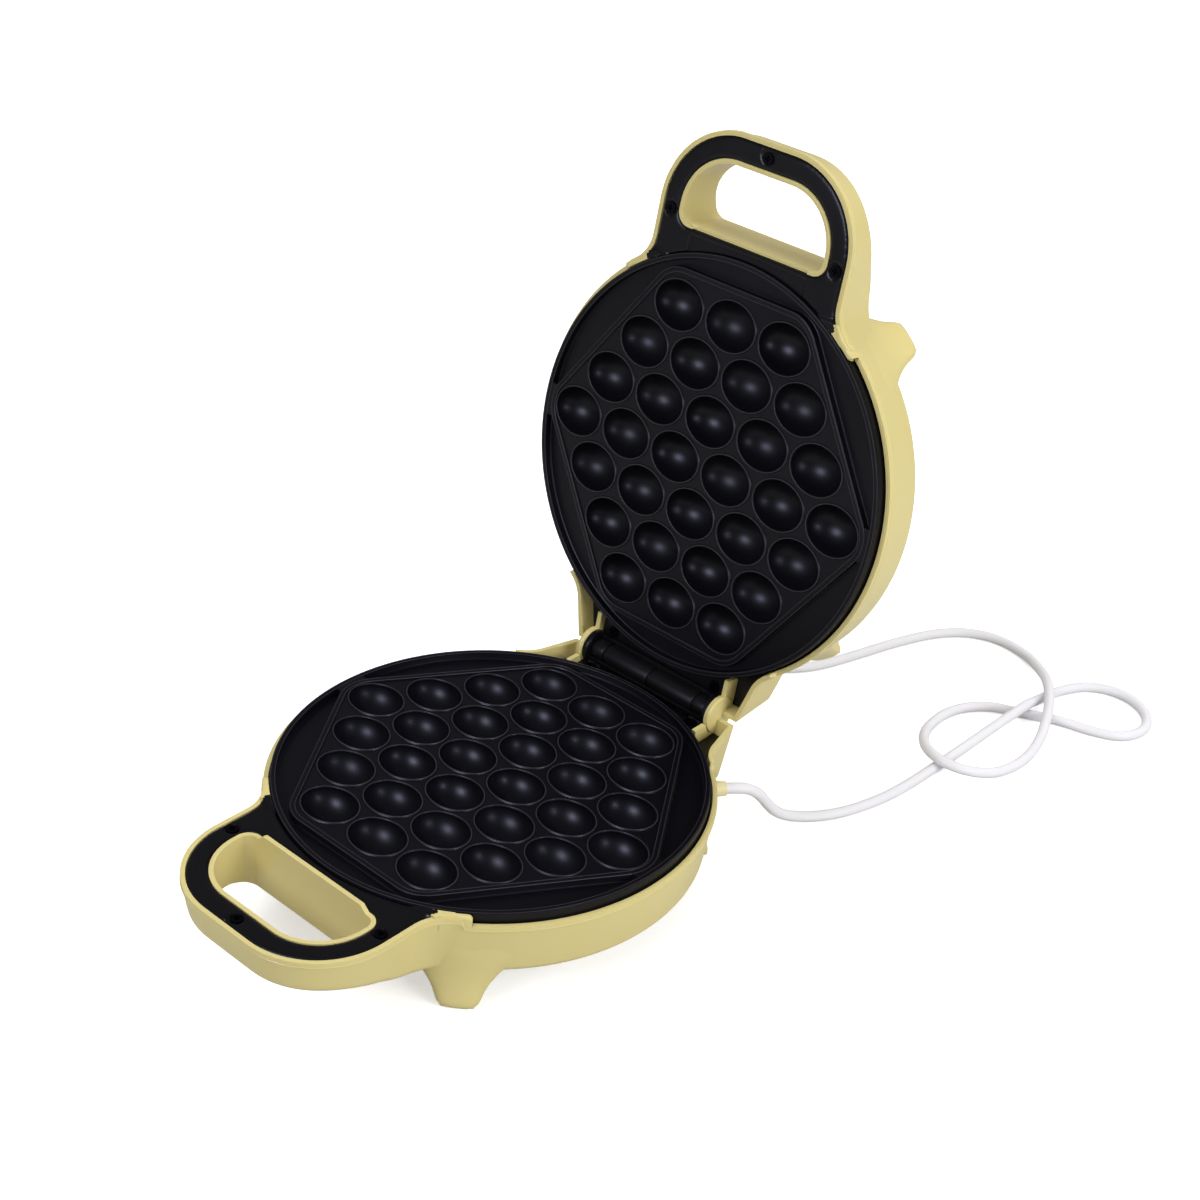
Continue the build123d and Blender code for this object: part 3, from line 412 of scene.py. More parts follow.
@dataclass(frozen=True)
class Finish:
    """A surface finish: two close colours in slow clouds, and a fine grain in its relief.

    Attributes:
        title: The material's name.
        colour: Main colour.
        second: Colour that the clouds lean to.
        roughness: Mean roughness.
        roughness_swing: How far the roughness goes up and down with the clouds.
        metallic: 1 for bare metal.
        ior: Index of refraction.
        cloud: Size of the clouds in millimetres.
        grain: Size of the grain in millimetres.
        relief: Height of the grain in millimetres.
        specular: Share of the usual mirror reflection.
        subsurface: Share of light that enters the surface.
        transmission: Share of light that goes through.
    """

    title: str
    colour: str
    second: str
    roughness: float
    roughness_swing: float = 0.04
    metallic: float = 0.0
    ior: float = 1.5
    cloud: float = 40.0
    grain: float = 0.6
    relief: float = 0.01
    specular: float = 0.5
    subsurface: float = 0.0
    transmission: float = 0.0

    def build(self) -> bpy.types.Material:
        """Make the material's node tree, unless it is already made.

        Clouds of noise mix the two colours and move the roughness, and finer noise drives the relief.

        Returns:
            The material.
        """
        ready = bpy.data.materials.get(self.title)
        if ready:
            return ready
        material = bpy.data.materials.new(self.title)
        material.use_nodes = True
        tree = material.node_tree
        tree.nodes.clear()
        where = add_node(tree, "ShaderNodeTexCoord", {}).outputs["Object"]
        clouds = add_node(
            tree, "ShaderNodeTexNoise", {"Vector": where, "Scale": 1 / (self.cloud * MM), "Detail": 3.0}
        ).outputs["Fac"]
        tint = add_node(
            tree,
            "ShaderNodeMix",
            {"Factor": clouds, "A": linear(self.colour), "B": linear(self.second)},
            data_type="RGBA",
        )
        gloss = add_node(
            tree,
            "ShaderNodeMapRange",
            {
                "Value": clouds,
                "From Min": 0.3,
                "From Max": 0.7,
                "To Min": self.roughness - self.roughness_swing,
                "To Max": self.roughness + self.roughness_swing,
            },
        )
        grit = add_node(
            tree, "ShaderNodeTexNoise", {"Vector": where, "Scale": 1 / (self.grain * MM), "Detail": 2.0}
        ).outputs["Fac"]
        bump = add_node(
            tree, "ShaderNodeBump", {"Height": grit, "Strength": 1.0, "Distance": self.relief * MM}
        )
        shader = add_node(
            tree,
            "ShaderNodeBsdfPrincipled",
            {
                "Base Color": tint.outputs["Result"],
                "Roughness": gloss.outputs["Result"],
                "Metallic": self.metallic,
                "IOR": self.ior,
                "Specular IOR Level": self.specular,
                "Subsurface Weight": self.subsurface,
                "Subsurface Scale": 2 * MM,
                "Transmission Weight": self.transmission,
                "Normal": bump.outputs["Normal"],
            },
        )
        add_node(tree, "ShaderNodeOutputMaterial", {"Surface": shader.outputs["BSDF"]})
        return material


# Injection-moulded ABS in a pale butter yellow: even and glossy, with soft highlights along its edges.
BUTTER_ABS = Finish(
    "butter_abs_moulded", "#D8CA8B", "#D3C583", 0.30, 0.015, cloud=70.0, relief=0.003, grain=1.6
)
# Glass-filled nylon, moulded black: satin, with the fine spark texture of the mould.
BLACK_NYLON = Finish(
    "black_nylon_moulded", "#0B0A0B", "#0E0D0E", 0.36, relief=0.008, grain=0.5, specular=0.28
)
# Cast aluminium under a sprayed non-stick coating: near black, bluish satin sheen, fine grit.
NONSTICK = Finish(
    "aluminium_nonstick_sprayed", "#09090D", "#0C0C11", 0.39, relief=0.010, grain=0.45, specular=0.24
)
# The same coating, painted lighter grey for the beads along the plate's edges: a painted highlight where the
# rounded edges catch light.
NONSTICK_HIGHLIGHT = Finish(
    "aluminium_nonstick_painted_highlight", "#2B282C", "#343035", 0.36, cloud=15.0, relief=0.006, specular=0.4
)
# Steel screws, blackened: dark metal that glints only at the edges of the drive.
BLACK_SCREW = Finish(
    "steel_screw_blackened", "#1A1A1E", "#26262C", 0.32, metallic=1.0, relief=0.004, grain=0.3
)
# Steel screws, zinc plated: pale grey and bright.
ZINC_SCREW = Finish("steel_screw_zinc", "#B8BABC", "#A4A7AA", 0.30, metallic=1.0, relief=0.004, grain=0.3)
# Drawn steel heater tube, oxidised by its heat: dull brownish grey.
HEATER_TUBE = Finish("heater_tube_steel_oxidised", "#6E6A62", "#57504A", 0.42, metallic=1.0, grain=0.8)
# Aluminised steel sheet, rolled: silvery, a little cloudy.
PAN_SHEET = Finish("aluminised_sheet_rolled", "#C4C6C8", "#B4B7BA", 0.28, metallic=1.0, grain=1.0)
# Steel or brass, nickel plated: bright and smooth.
BRIGHT_STEEL = Finish("steel_nickel_plated", "#C9CACB", "#BDBFC1", 0.18, metallic=1.0, grain=0.4)
# Extruded soft PVC, white: a soft sheen, and light that enters a little way.
WHITE_PVC = Finish(
    "white_pvc_cord_jacket", "#E9E8EB", "#E1E0E4", 0.38, relief=0.006, grain=0.8, subsurface=0.08
)
# Moulded soft PVC, cream: as the cord's, but dyed towards the housing's colour.
CREAM_PVC = Finish(
    "cream_pvc_relief", "#E4DAAC", "#DDD2A0", 0.40, relief=0.006, grain=0.8, subsurface=0.06
)
# Pressed phenolic, cream: dry and dull.
CREAM_PHENOLIC = Finish("cream_phenolic_block", "#D9D0B4", "#CFC4A4", 0.42, grain=0.7)
# Moulded clear polycarbonate: glassy, faintly milky.
CLEAR_LENS = Finish(
    "lens_polycarbonate", "#F2F0EA", "#ECEAE2", 0.08, ior=1.58, transmission=0.75, relief=0.001
)
# Blown lamp glass: clear and very smooth.
NEON_GLASS = Finish(
    "lamp_glass_blown", "#E8E6DF", "#DEDAD0", 0.06, ior=1.5, transmission=0.8, relief=0.001
)

NODE_FINISHES = {
    "housing": BUTTER_ABS,
    "frame": BLACK_NYLON,
    "plate": NONSTICK,
    "plate_screws": BLACK_SCREW,
    "handle_screws": BLACK_SCREW,
    "hinge_screws": BLACK_SCREW,
    "heating_element": HEATER_TUBE,
    "reflector": PAN_SHEET,
    "reflector_screws": ZINC_SCREW,
    "thermostat": BRIGHT_STEEL,
    "thermal_fuse": BRIGHT_STEEL,
    "hinge_pin": BLACK_SCREW,
    "terminal_block": CREAM_PHENOLIC,
    "strain_relief": CREAM_PVC,
    "cord": WHITE_PVC,
    "plug": WHITE_PVC,
    "plug_pins": BRIGHT_STEEL,
    "indicator_lenses": CLEAR_LENS,
    "indicator_lamps": NEON_GLASS,
}


def dress(item: bpy.types.Object, finish: Finish) -> None:
    """Give an object one finish all over."""
    item.data.materials.clear()
    item.data.materials.append(finish.build())


# ---- Cell plate ----


@dataclass
class CellPlate:
    """The cast plate's fine edges: linings of the egg cells with their lips, ridge and rim.

    Attributes:
        length: Cell length along X.
        width: Cell width along Y, and twice its depth.
        pitch: Distance between neighbours in a row.
        row_pitch: Distance between rows.
        middle_row: Cells in the middle row.
        rows_each_side: Rows on each side of it.
        field: Height of the field between the cells.
        face: Height of the plate's face.
        channel: Height of the overflow channels.
        lining: How far the lining stands in from the cast wall.
        ridge_at: Outermost cell centres to the middle of the ridge.
        ridge_width: Width of the ridge.
        rim_radius: Radius of the plate.
        rim_width: Width of its rim.
        flange: Height of the lower edge of the plate's side.
        cell_bead: Radius of the bead round a cell, whose lighter colour is a painted highlight.
        cell_bead_out: How far it lies outside the cell's edge.
        ridge_bead: Radius of the beads on the ridge.
        rim_bead: Radius of the beads on the rim.
    """

    length: float = 29.6
    width: float = 24.4
    pitch: float = 32.5
    row_pitch: float = 24.1966
    middle_row: int = 6
    rows_each_side: int = 3
    field: float = -1.0
    face: float = -0.25
    channel: float = -4.0
    lining: float = 0.12
    ridge_at: float = 17.1
    ridge_width: float = 2.2
    rim_radius: float = 104.05
    rim_width: float = 2.6
    flange: float = -8.6
    cell_bead: float = 0.36
    cell_bead_out: float = 0.30
    ridge_bead: float = 0.24
    rim_bead: float = 0.26

    def centres(self) -> np.ndarray:
        """Where the cells stand: rows along X, one cell fewer with each row away from the middle.

        Returns:
            X and Y of each cell, one row each.
        """
        rows = np.arange(-self.rows_each_side, self.rows_each_side + 1)
        count = self.middle_row - np.abs(rows)
        row = np.repeat(rows, count)
        index = np.concatenate([np.arange(n) - (n - 1) / 2 for n in count])
        return np.stack([index * self.pitch, row * self.row_pitch], axis=-1)

    def cell(self, around: int = 72, down: int = 18) -> np.ndarray:
        """One lining: a spheroid bowl, then a lip rolled over the edge of its wall.

        Bowl: x = a cos t sin p, y = b sin t sin p, z = -b cos p, p from 0 to where z is the field's
        height. Lip: the edge plus d times the ellipse's normal, d and height from a rounded profile.

        Args:
            around: Points round the cell.
            down: Points from its bottom to its edge.

        Returns:
            Points by turn and place along the section.
        """
        a, b = self.length / 2 - self.lining, self.width / 2 - self.lining
        turn = full_turn(around)
        last = math.acos(-(self.field - 0.12) / b)
        polar = np.linspace(0, 1, down) ** 0.9 * last
        t, p = np.meshgrid(turn, polar, indexing="ij")
        bowl = np.stack([a * np.cos(t) * np.sin(p), b * np.sin(t) * np.sin(p), -b * np.cos(p)], axis=-1)
        normal = np.stack([b * np.cos(turn), a * np.sin(turn)], axis=-1)
        normal /= np.linalg.norm(normal, axis=1, keepdims=True)
        lip = np.array(
            [(-0.06, 0.10), (-0.02, 0.32), (0.10, 0.50), (0.30, 0.60), (0.52, 0.60)]
            + [(0.74, 0.48), (0.94, 0.24), (1.06, 0.04), (1.16, -0.10)]
        )
        edge = bowl[:, -1, :2]
        plan = edge[:, None, :] + lip[None, :, :1] * normal[:, None, :]
        height = np.broadcast_to(self.field + lip[:, 1], (around, len(lip)))
        return np.concatenate([bowl, np.concatenate([plan, height[..., None]], axis=-1)], axis=1)

    def hexagon(self, out: float) -> np.ndarray:
        """The round-cornered hexagon round the cells: an arc about each corner of their outermost row.

        Args:
            out: Radius of the arcs, and how far the sides lie out from the outermost centres.

        Returns:
            Points, anticlockwise and evenly spaced.
        """
        top_x = (self.middle_row - self.rows_each_side - 1) / 2 * self.pitch
        top_y = self.rows_each_side * self.row_pitch
        end_x = (self.middle_row - 1) / 2 * self.pitch
        lean = math.degrees(math.atan2(end_x - top_x, top_y))
        corners = [(end_x, 0), (top_x, top_y), (-top_x, top_y)]
        corners += [(-end_x, 0), (-top_x, -top_y), (top_x, -top_y)]
        turns = [(-lean, lean), (lean, 90), (90, 180 - lean)]
        turns += [(180 - lean, 180 + lean), (180 + lean, 270), (270, 360 - lean)]
        rounds = [arc(corner, out, start, end) for corner, (start, end) in zip(corners, turns)]
        loop = np.concatenate(rounds + [rounds[0][:1]])
        return even(loop, 1.5)[:-1]

    def circle(self) -> np.ndarray:
        """A circle of radius 1 about the plate's axis, fine enough for its rim."""
        return arc((0, 0), 1.0, 0, 360, step=0.012)[:-1]

    def ridge(self) -> np.ndarray:
        """The ridge: a low rounded bead carried along the hexagon.

        Returns:
            Points by place along the ridge and across it.
        """
        half, top = self.ridge_width / 2 + 0.06, self.face + 0.10
        low = self.channel
        profile = np.array(
            [(-half - 0.05, self.field - 0.1), (-half, self.field + 0.25), (-half + 0.18, top - 0.16)]
            + [(-half + 0.5, top), (half - 0.5, top), (half - 0.18, top - 0.16), (half, top - 0.5)]
            + [(half + 0.02, low + 0.5), (half + 0.3, low + 0.12), (half + 0.9, low - 0.05)]
        )
        return carry(self.hexagon(self.ridge_at), profile, 0.0, closed=True)

    def rim(self) -> np.ndarray:
        """The rim: a rounded edge turned about the plate's axis, from the channel over to the side.

        Returns:
            Points by turn and place across the rim.
        """
        inner, outer, top = self.rim_radius - self.rim_width, self.rim_radius + 0.05, self.face + 0.08
        low = self.channel
        profile = np.array(
            [(inner - 0.9, low - 0.05), (inner - 0.3, low + 0.12), (inner - 0.04, low + 0.5)]
            + [(inner - 0.03, top - 0.5), (inner + 0.15, top - 0.16), (inner + 0.5, top), (outer - 0.8, top)]
            + [(outer - 0.32, top - 0.12), (outer - 0.08, top - 0.4), (outer, top - 0.85)]
            + [(outer, self.flange)]
        )
        circle = self.circle()
        plan = circle[:, None, :] * profile[None, :, :1]
        height = np.broadcast_to(profile[:, 1], plan.shape[:2])
        return np.concatenate([plan, height[..., None]], axis=-1)

    def edges(self, around: int = 72) -> list:
        """Thin beads on the edges, coloured lighter as a painted highlight: each cell's, the ridge's and the
        rim's.

        Each bead is a small circle carried along its edge, half sunk in it. The cell's edge is the
        ellipse (a cos t, b sin t), moved out by a little along its normal.

        Args:
            around: Points round a cell.

        Returns:
            One grid of points for each bead.
        """
        turn = full_turn(around)
        ellipse = np.stack([self.length / 2 * np.cos(turn), self.width / 2 * np.sin(turn)], axis=-1)
        ellipse = ellipse + self.cell_bead_out * outward(ellipse, True)
        sunk = self.field + self.cell_bead - 0.02
        beads = [tube(ellipse + centre, sunk, self.cell_bead) for centre in self.centres()]
        half = self.ridge_width / 2
        for out in (-half, half):
            beads.append(tube(self.hexagon(self.ridge_at + out), self.face - 0.12, self.ridge_bead))
        inner, outer = self.rim_radius - self.rim_width + 0.25, self.rim_radius - 0.45
        for radius in (inner, outer):
            beads.append(tube(self.circle() * radius, self.face - 0.14, self.rim_bead))
        return beads

    def build(self, half: Half) -> None:
        """Make the plate's four pieces.

        Args:
            half: The half that they are for.
        """
        beads = Form.of(*self.edges(), wrap_rows=True, wrap_columns=True, facing=None)
        # The edge beads take the lighter coating: a painted highlight along the plate's rounded edges.
        beads.build("plate_edge_highlights", half, NONSTICK_HIGHLIGHT, "coated_plate", recalc=True)
        cell = self.cell()
        cells = [cell + (*centre, 0.0) for centre in self.centres()]
        surfaces = (("cell_linings", cells), ("field_ridge", [self.ridge()]), ("plate_rim", [self.rim()]))
        for name, grids in surfaces:
            form = Form.of(*grids, wrap_rows=True)
            form.build(name, half, NONSTICK, "coated_plate", sharp=70)


# ---- Housing ----


@dataclass
class HousingTrim:
    """The housing's rounded rims: round the whole half, and round the handle opening.

    Attributes:
        radius: Radius of the bowl's rim.
        draft: Lean of the walls in degrees.
        wall: Wall thickness.
        handle_half: Half the width of the handle.
        handle_tip: Plate centre to the handle's tip.
        handle_corner: Corner radius of the handle.
        neck: Radius of the concave blends.
        ear_end: Half the width across the ears at the hinge axis.
        ear_spread: How much an ear widens for each millimetre towards the plate.
        rear_end: How far in from the ears the rear wall's rim ends.
        rim: Height of the rim at the handle and the ears.
        side_rim: Height of the rim along the plate's sides.
        tab: Height of the tab's top.
        tab_span: Y at its front and at its back.
        tab_ends: Length of the rounding at its ends, and how far it falls there.
        step_front: Y where the rim steps down behind the handle.
        step_back: Y where it steps up again ahead of the ears.
        hole_half: Half the width of the handle opening.
        hole_near: Plate centre to the opening's straight side.
        hole_far: Plate centre to its far side.
        hole_corners: Near and far corner radii.
        hole_skirt: Length of the rim's skirt in the opening.
        skirt_proud: How far its foot stands out of the opening's wall.
        tongue_half: Half the width of the base's raised tongue.
        tongue_run: Length of its slopes.
        tongue_top: Its height on the base, and the slot's depth on the lid.
    """

    radius: float = 107.904
    draft: float = 8.0
    wall: float = 2.2
    handle_half: float = 57.0
    handle_tip: float = 161.15
    handle_corner: float = 42.0
    neck: float = 18.0
    ear_end: float = 53.5
    ear_spread: float = 0.28
    rear_end: float = 44.3
    rim: float = -1.5
    side_rim: float = -5.0
    tab: float = -0.15
    tab_span: tuple = (-91.35, -81.4)
    tab_ends: tuple = (1.8, 1.9)
    step_front: float = -84.05
    step_back: float = 84.05
    hole_half: float = 42.3
    hole_near: float = 111.9
    hole_far: float = 145.8
    hole_corners: tuple = (5.0, 26.0)
    hole_skirt: float = 5.0
    skirt_proud: float = 0.08
    tongue_half: float = 32.5
    tongue_run: float = 3.2
    tongue_top: tuple = (1.6, -3.0)

    def right_side(self) -> np.ndarray:
        """The right half of the outline: arcs that touch one another, and the ear's slanting side.

        Returns:
            Points from the handle's tip round to the ear's rear corner and in along the rear.
        """
        ear_corner = 1.0
        corner_x = self.handle_half - self.handle_corner
        corner_y = self.handle_corner - self.handle_tip
        reach = self.radius + self.neck
        front = np.array([self.handle_half + self.neck, 0.0])
        front[1] = -math.sqrt(reach**2 - front[0] ** 2)
        lean = np.array([self.ear_spread, -1.0]) / math.hypot(self.ear_spread, 1.0)
        out = np.array([-lean[1], lean[0]])
        start = np.array([self.ear_end, HINGE_Y]) + self.neck * out
        across = start @ lean
        rear = start + (-across - math.sqrt(across**2 - start @ start + reach**2)) * lean
        towards_front = math.degrees(math.atan2(-front[1], -front[0]))
        towards_rear = math.degrees(math.atan2(-rear[1], -rear[0])) % 360
        ear_turn = math.degrees(math.atan2(-out[1], -out[0])) % 360
        return np.concatenate(
            [
                [(0.0, -self.handle_tip)],
                arc((corner_x, corner_y), self.handle_corner, -90, 0),
                arc(tuple(front), self.neck, 180, towards_front),
                arc((0, 0), self.radius, towards_front - 180, towards_rear - 180)[1:-1],
                arc(tuple(rear), self.neck, towards_rear, ear_turn),
                arc((self.ear_end - 1.2, HINGE_Y - ear_corner), ear_corner, 0, 90, step=0.3),
                [(self.rear_end, HINGE_Y)],
            ]
        )

    def outline(self) -> np.ndarray:
        """The housing's outline: the right half, and the same mirrored over x = 0.

        Returns:
            Points, anticlockwise from the left ear round the handle to the right ear.
        """
        right = even(self.right_side(), 0.8)
        left = right[:0:-1] * (-1, 1)
        return np.concatenate([left, right])

    def inset(self, height: np.ndarray) -> np.ndarray:
        """How far the drafted wall has moved in at a height."""
        return (self.rim - height) * math.tan(math.radians(self.draft))

    def rim_levels(self, y: np.ndarray) -> np.ndarray:
        """The rim's height: it steps down behind the handle and up again at the ears.

        Args:
            y: Y of each place.

        Returns:
            One height for each place.
        """
        blend = 0.5
        side_on = np.clip((y - self.step_front) / blend + 0.5, 0, 1)
        ear_on = np.clip((y - self.step_back) / blend + 0.5, 0, 1)
        return self.rim + (side_on - ear_on) * (self.side_rim - self.rim)

    def lip(self, height: float = 2.6, bead: float = 0.2, crest: float = 0.05) -> np.ndarray:
        """The rim's profile: a skirt outside that ends in a bead, a round top and a skirt inside.

        Top: half a superellipse, u = w cos t and v = h sin t, each power 0.75 of its size.

        Args:
            height: Length of the skirts.
            bead: How far the bead at the outer skirt's foot stands out.
            crest: How far the top stands over the cast rim.

        Returns:
            Offsets u outwards and v upwards, one row each. The first six are the outer skirt's foot.
        """
        turn = np.linspace(0, math.pi, 11)
        half = self.wall / 2 + 0.04
        square, rise = 0.75, 0.85
        across = -self.wall / 2 + half * signed_power(np.cos(turn), square)
        up = crest - rise + rise * np.sin(turn) ** square
        top = np.stack([across, up], axis=-1)
        foot = [(-0.75, -0.30), (-0.02, -0.24), (bead * 0.8, -0.1), (bead, 0.05), (bead * 0.6, 0.2)]
        outside = np.array([*foot, (0.0, 0.30)]) + (0.0, -height)
        inside = np.array([(-self.wall - 0.04, -height)])
        return np.concatenate([outside, np.clip(top, (-9, -9), (0.0, 9)), inside])

    def rim_grid(self) -> np.ndarray:
        """The rim carried round the outline, its height and the wall's lean following each stretch.

        Returns:
            Points by place along the outline and across the rim.
        """
        path = self.outline()
        level = self.rim_levels(path[:, 1])
        edge = path - outward(path, False) * np.maximum(self.inset(level), 0.0)[:, None]
        profile = self.lip()
        normal = outward(path, False)
        plan = edge[:, None, :] + profile[None, :, :1] * normal[:, None, :]
        plan[..., 1] = np.maximum(plan[..., 1], -self.handle_tip)
        height = level[:, None] + profile[None, :, 1]
        return np.concatenate([plan, height[..., None]], axis=-1)

    def tab_grid(self) -> np.ndarray:
        """The right tab: a short rounded block on the rim, its top falling away at both ends.

        Top: the tab's height less a quarter ellipse over the first and the last stretch.

        Returns:
            Points by place along the tab and across it.
        """
        path = self.outline()
        start, end = self.tab_span
        path = even(path[(path[:, 0] > 0) & (path[:, 1] > start) & (path[:, 1] < end)], 0.35)
        run, drop = self.tab_ends
        to_end = np.minimum(path[:, 1] - path[0, 1], path[-1, 1] - path[:, 1])
        level = self.tab - drop * roll_off(to_end / run)
        profile = [(-0.9, -6.2), (-0.45, -6.0), (-0.3, -1.4), (-0.38, -0.6), (-0.75, -0.12), (-1.3, 0.0)]
        profile += [(-2.2, 0.0), (-2.9, -0.1), (-3.3, -0.45), (-3.45, -1.0), (-3.45, -5.5)]
        return carry(path, np.array(profile), level, closed=False)

    def hole(self) -> np.ndarray:
        """The handle opening's outline: a D whose straight side looks to the plate, an arc at each corner.

        Returns:
            Points, anticlockwise and evenly spaced.
        """
        near, far = self.hole_corners
        side, top, low = self.hole_half, -self.hole_near, -self.hole_far
        corners = [
            arc((side - near, top - near), near, 0, 90, step=0.6),
            arc((-side + near, top - near), near, 90, 180, step=0.6),
            arc((-side + far, low + far), far, 180, 270, step=0.9),
            arc((side - far, low + far), far, 270, 360, step=0.9),
        ]
        return even(np.concatenate([*corners, corners[0][:1]]), 0.8)[:-1]

    def hole_levels(self, path: np.ndarray, half: Half) -> np.ndarray:
        """The opening's rim: level, but for the tongue up on the base or the slot down on the lid.

        Args:
            path: Points of the opening's outline.
            half: The half that the rim is for.

        Returns:
            One height for each point.
        """
        top = self.tongue_top[0 if half is Half.BASE else 1]
        near_side = path[:, 1] > -self.hole_near - 2.0
        share = (self.tongue_half + self.tongue_run - np.abs(path[:, 0])) / self.tongue_run
        return self.rim + np.where(near_side, ease(share), 0.0) * (top - self.rim)

    def hole_grid(self, half: Half) -> np.ndarray:
        """The opening's rim: the same round top, carried round with its back to the opening.

        Args:
            half: The half that the rim is for.

        Returns:
            Points by place round the opening and across the rim.
        """
        path = self.hole()
        profile = self.lip(height=self.hole_skirt, bead=0.0) * (-1, 1)
        profile[:6, 0] -= self.skirt_proud
        grid = carry(path, profile, self.hole_levels(path, half), closed=True)
        return grid[:, ::-1]

    def build(self, half: Half) -> None:
        """Make the rims of one half, and its two tabs.

        Args:
            half: The half that they are for.
        """
        tab = self.tab_grid()
        forms = (
            ("housing_rim", Form.of(self.rim_grid()), 50),
            ("rim_tabs", Form.of(tab, tab * (-1, 1, 1)), 60),
            ("opening_rim", Form.of(self.hole_grid(half), wrap_rows=True), 50),
        )
        for name, form, sharp in forms:
            form.build(name, half, BUTTER_ABS, "yellow_plastic", sharp=sharp)


@dataclass
class HandleInsert:
    """The black insert of the handle, gently domed, with wells for its three screws.

    Attributes:
        trim: The housing that it lies in.
        seat: Height of its lower edge.
        crest: Height of its top.
        roll: Width over which the edge rolls down.
        to_wall: Housing outline to the insert's edge.
        to_hole: Handle opening to the insert's edge.
        bore: Radius of the bore for the plate.
        rear: Turn in degrees from the handle to its rear edges, which lie along radii of the plate.
        screws: Where its screws are.
        well: Radius of a screw's well.
        groove: Y and half width of the lid's groove along the lowered wall.
        over_tab: Height of its rear corners, which lap the housing beside the tabs.
        ramp: Y where the ramp up to them starts, and its length.
        shoulder: How far the dome falls over the roll.
        edge: Width of the steep edge all round.
        behind: Y behind which no part of it reaches.
        stray: How far off its edge a corner may stay before the quads that it belongs to are dropped.
        reach: Half the width of the grid that it is cut from.
        step: Grid spacing.
    """

    trim: HousingTrim
    seat: float = -2.7
    crest: float = -1.25
    roll: float = 3.2
    to_wall: float = 2.45
    to_hole: float = 2.4
    bore: float = 104.38
    rear: float = 32.6
    screws: tuple = ((49.7, -115.6), (-49.7, -115.6), (0.0, -154.575))
    well: float = 3.5
    groove: tuple = (-106.8, 34.5)
    over_tab: float = -0.14
    ramp: tuple = (-94.6, 1.8)
    shoulder: float = 0.7
    edge: float = 0.7
    behind: float = -82.0
    stray: float = 0.15
    reach: float = 79.0
    step: float = 0.8

    def __post_init__(self) -> None:
        """Read the outlines that the insert keeps clear of, with only as many corners as it needs."""
        outline = self.trim.outline()
        self.front = outline[outline[:, 1] < self.behind + 2][::2]
        self.opening = self.trim.hole()[::2]

    def depths(self, points: np.ndarray, half: Half) -> tuple[np.ndarray, np.ndarray]:
        """How far points lie inside the insert's long edges, and inside all its edges.

        Args:
            points: Points in the plane, one row each.
            half: The half, since the lid's insert leaves a groove along the lowered wall.

        Returns:
            Distance to the nearest long edge, and to the nearest edge of any kind.
        """
        wall = -distance_to(points, self.front) - self.to_wall
        opening = distance_to(points, self.opening) - self.to_hole
        plate = np.linalg.norm(points, axis=1) - self.bore
        turn = math.radians(self.rear)
        rear = -(np.abs(points[:, 0]) * math.cos(turn) + points[:, 1] * math.sin(turn))
        wells = [np.linalg.norm(points - screw, axis=1) - self.well for screw in np.array(self.screws)]
        edges = np.minimum(wall, opening)
        every = np.minimum.reduce([edges, plate, rear, *wells])
        if half is Half.LID:
            gap = np.maximum(self.groove[0] - points[:, 1], np.abs(points[:, 0]) - self.groove[1])
            behind_opening = points[:, 1] > -self.trim.hole_near + 0.5
            every = np.where(behind_opening, np.minimum(every, gap), every)
        return edges, every

    def patch(self, half: Half) -> tuple[np.ndarray, np.ndarray]:
        """The insert's top as a height over the plane, on a square grid pulled to its edges.

        Quads whose middle lies inside are kept, and corners near an edge move onto it along the
        distance's gradient. Height: the crest less a quarter ellipse over the roll, and another over
        the edge, then eased up to the rear corners' height by 3 s^2 - 2 s^3.

        Args:
            half: The half that the insert is for.

        Returns:
            Points, one row each, and four vertex numbers for each quad.
        """
        margin, close, flattest = 2.0, 0.45 * self.step, 0.3
        x = np.arange(-self.reach, self.reach, self.step)
        y = np.arange(-self.trim.handle_tip - margin, self.behind, self.step)
        points = np.stack(np.meshgrid(x, y, indexing="ij"), axis=-1).reshape(-1, 2)
        faces = grid_faces(len(x), len(y), False, False)
        inside = self.depths(points[faces].mean(axis=1), half)[1] > 0
        used, faces = np.unique(faces[inside], return_inverse=True)
        points, faces = points[used], faces.reshape(-1, 4)
        nudge = 0.02
        for _ in range(3):
            depth = self.depths(points, half)[1]
            slope = [self.depths(points + shift, half)[1] - depth for shift in ((nudge, 0.0), (0.0, nudge))]
            slope = np.stack(slope, axis=-1) / nudge
            length = np.maximum(np.linalg.norm(slope, axis=1, keepdims=True), flattest)
            pull = np.where(depth < close, -depth, 0.0)[:, None]
            points = points + np.clip(pull * slope / length**2, -self.step, self.step)
        edges, every = self.depths(points, half)
        faces = faces[(every[faces] > -self.stray).all(axis=1)]
        height = self.crest - self.shoulder * roll_off(edges / self.roll)
        height = height - (self.crest - self.shoulder - self.seat) * roll_off(every / self.edge)
        height = height + ease((points[:, 1] - self.ramp[0]) / self.ramp[1]) * (self.over_tab - height)
        return np.concatenate([points, height[:, None]], axis=-1), faces

    def build(self, half: Half) -> None:
        """Make the insert.

        Args:
            half: The half that it is for.
        """
        form = Form()
        form.add(*self.patch(half))
        form.build("handle_insert", half, BLACK_NYLON, "black_plastic", sharp=60)


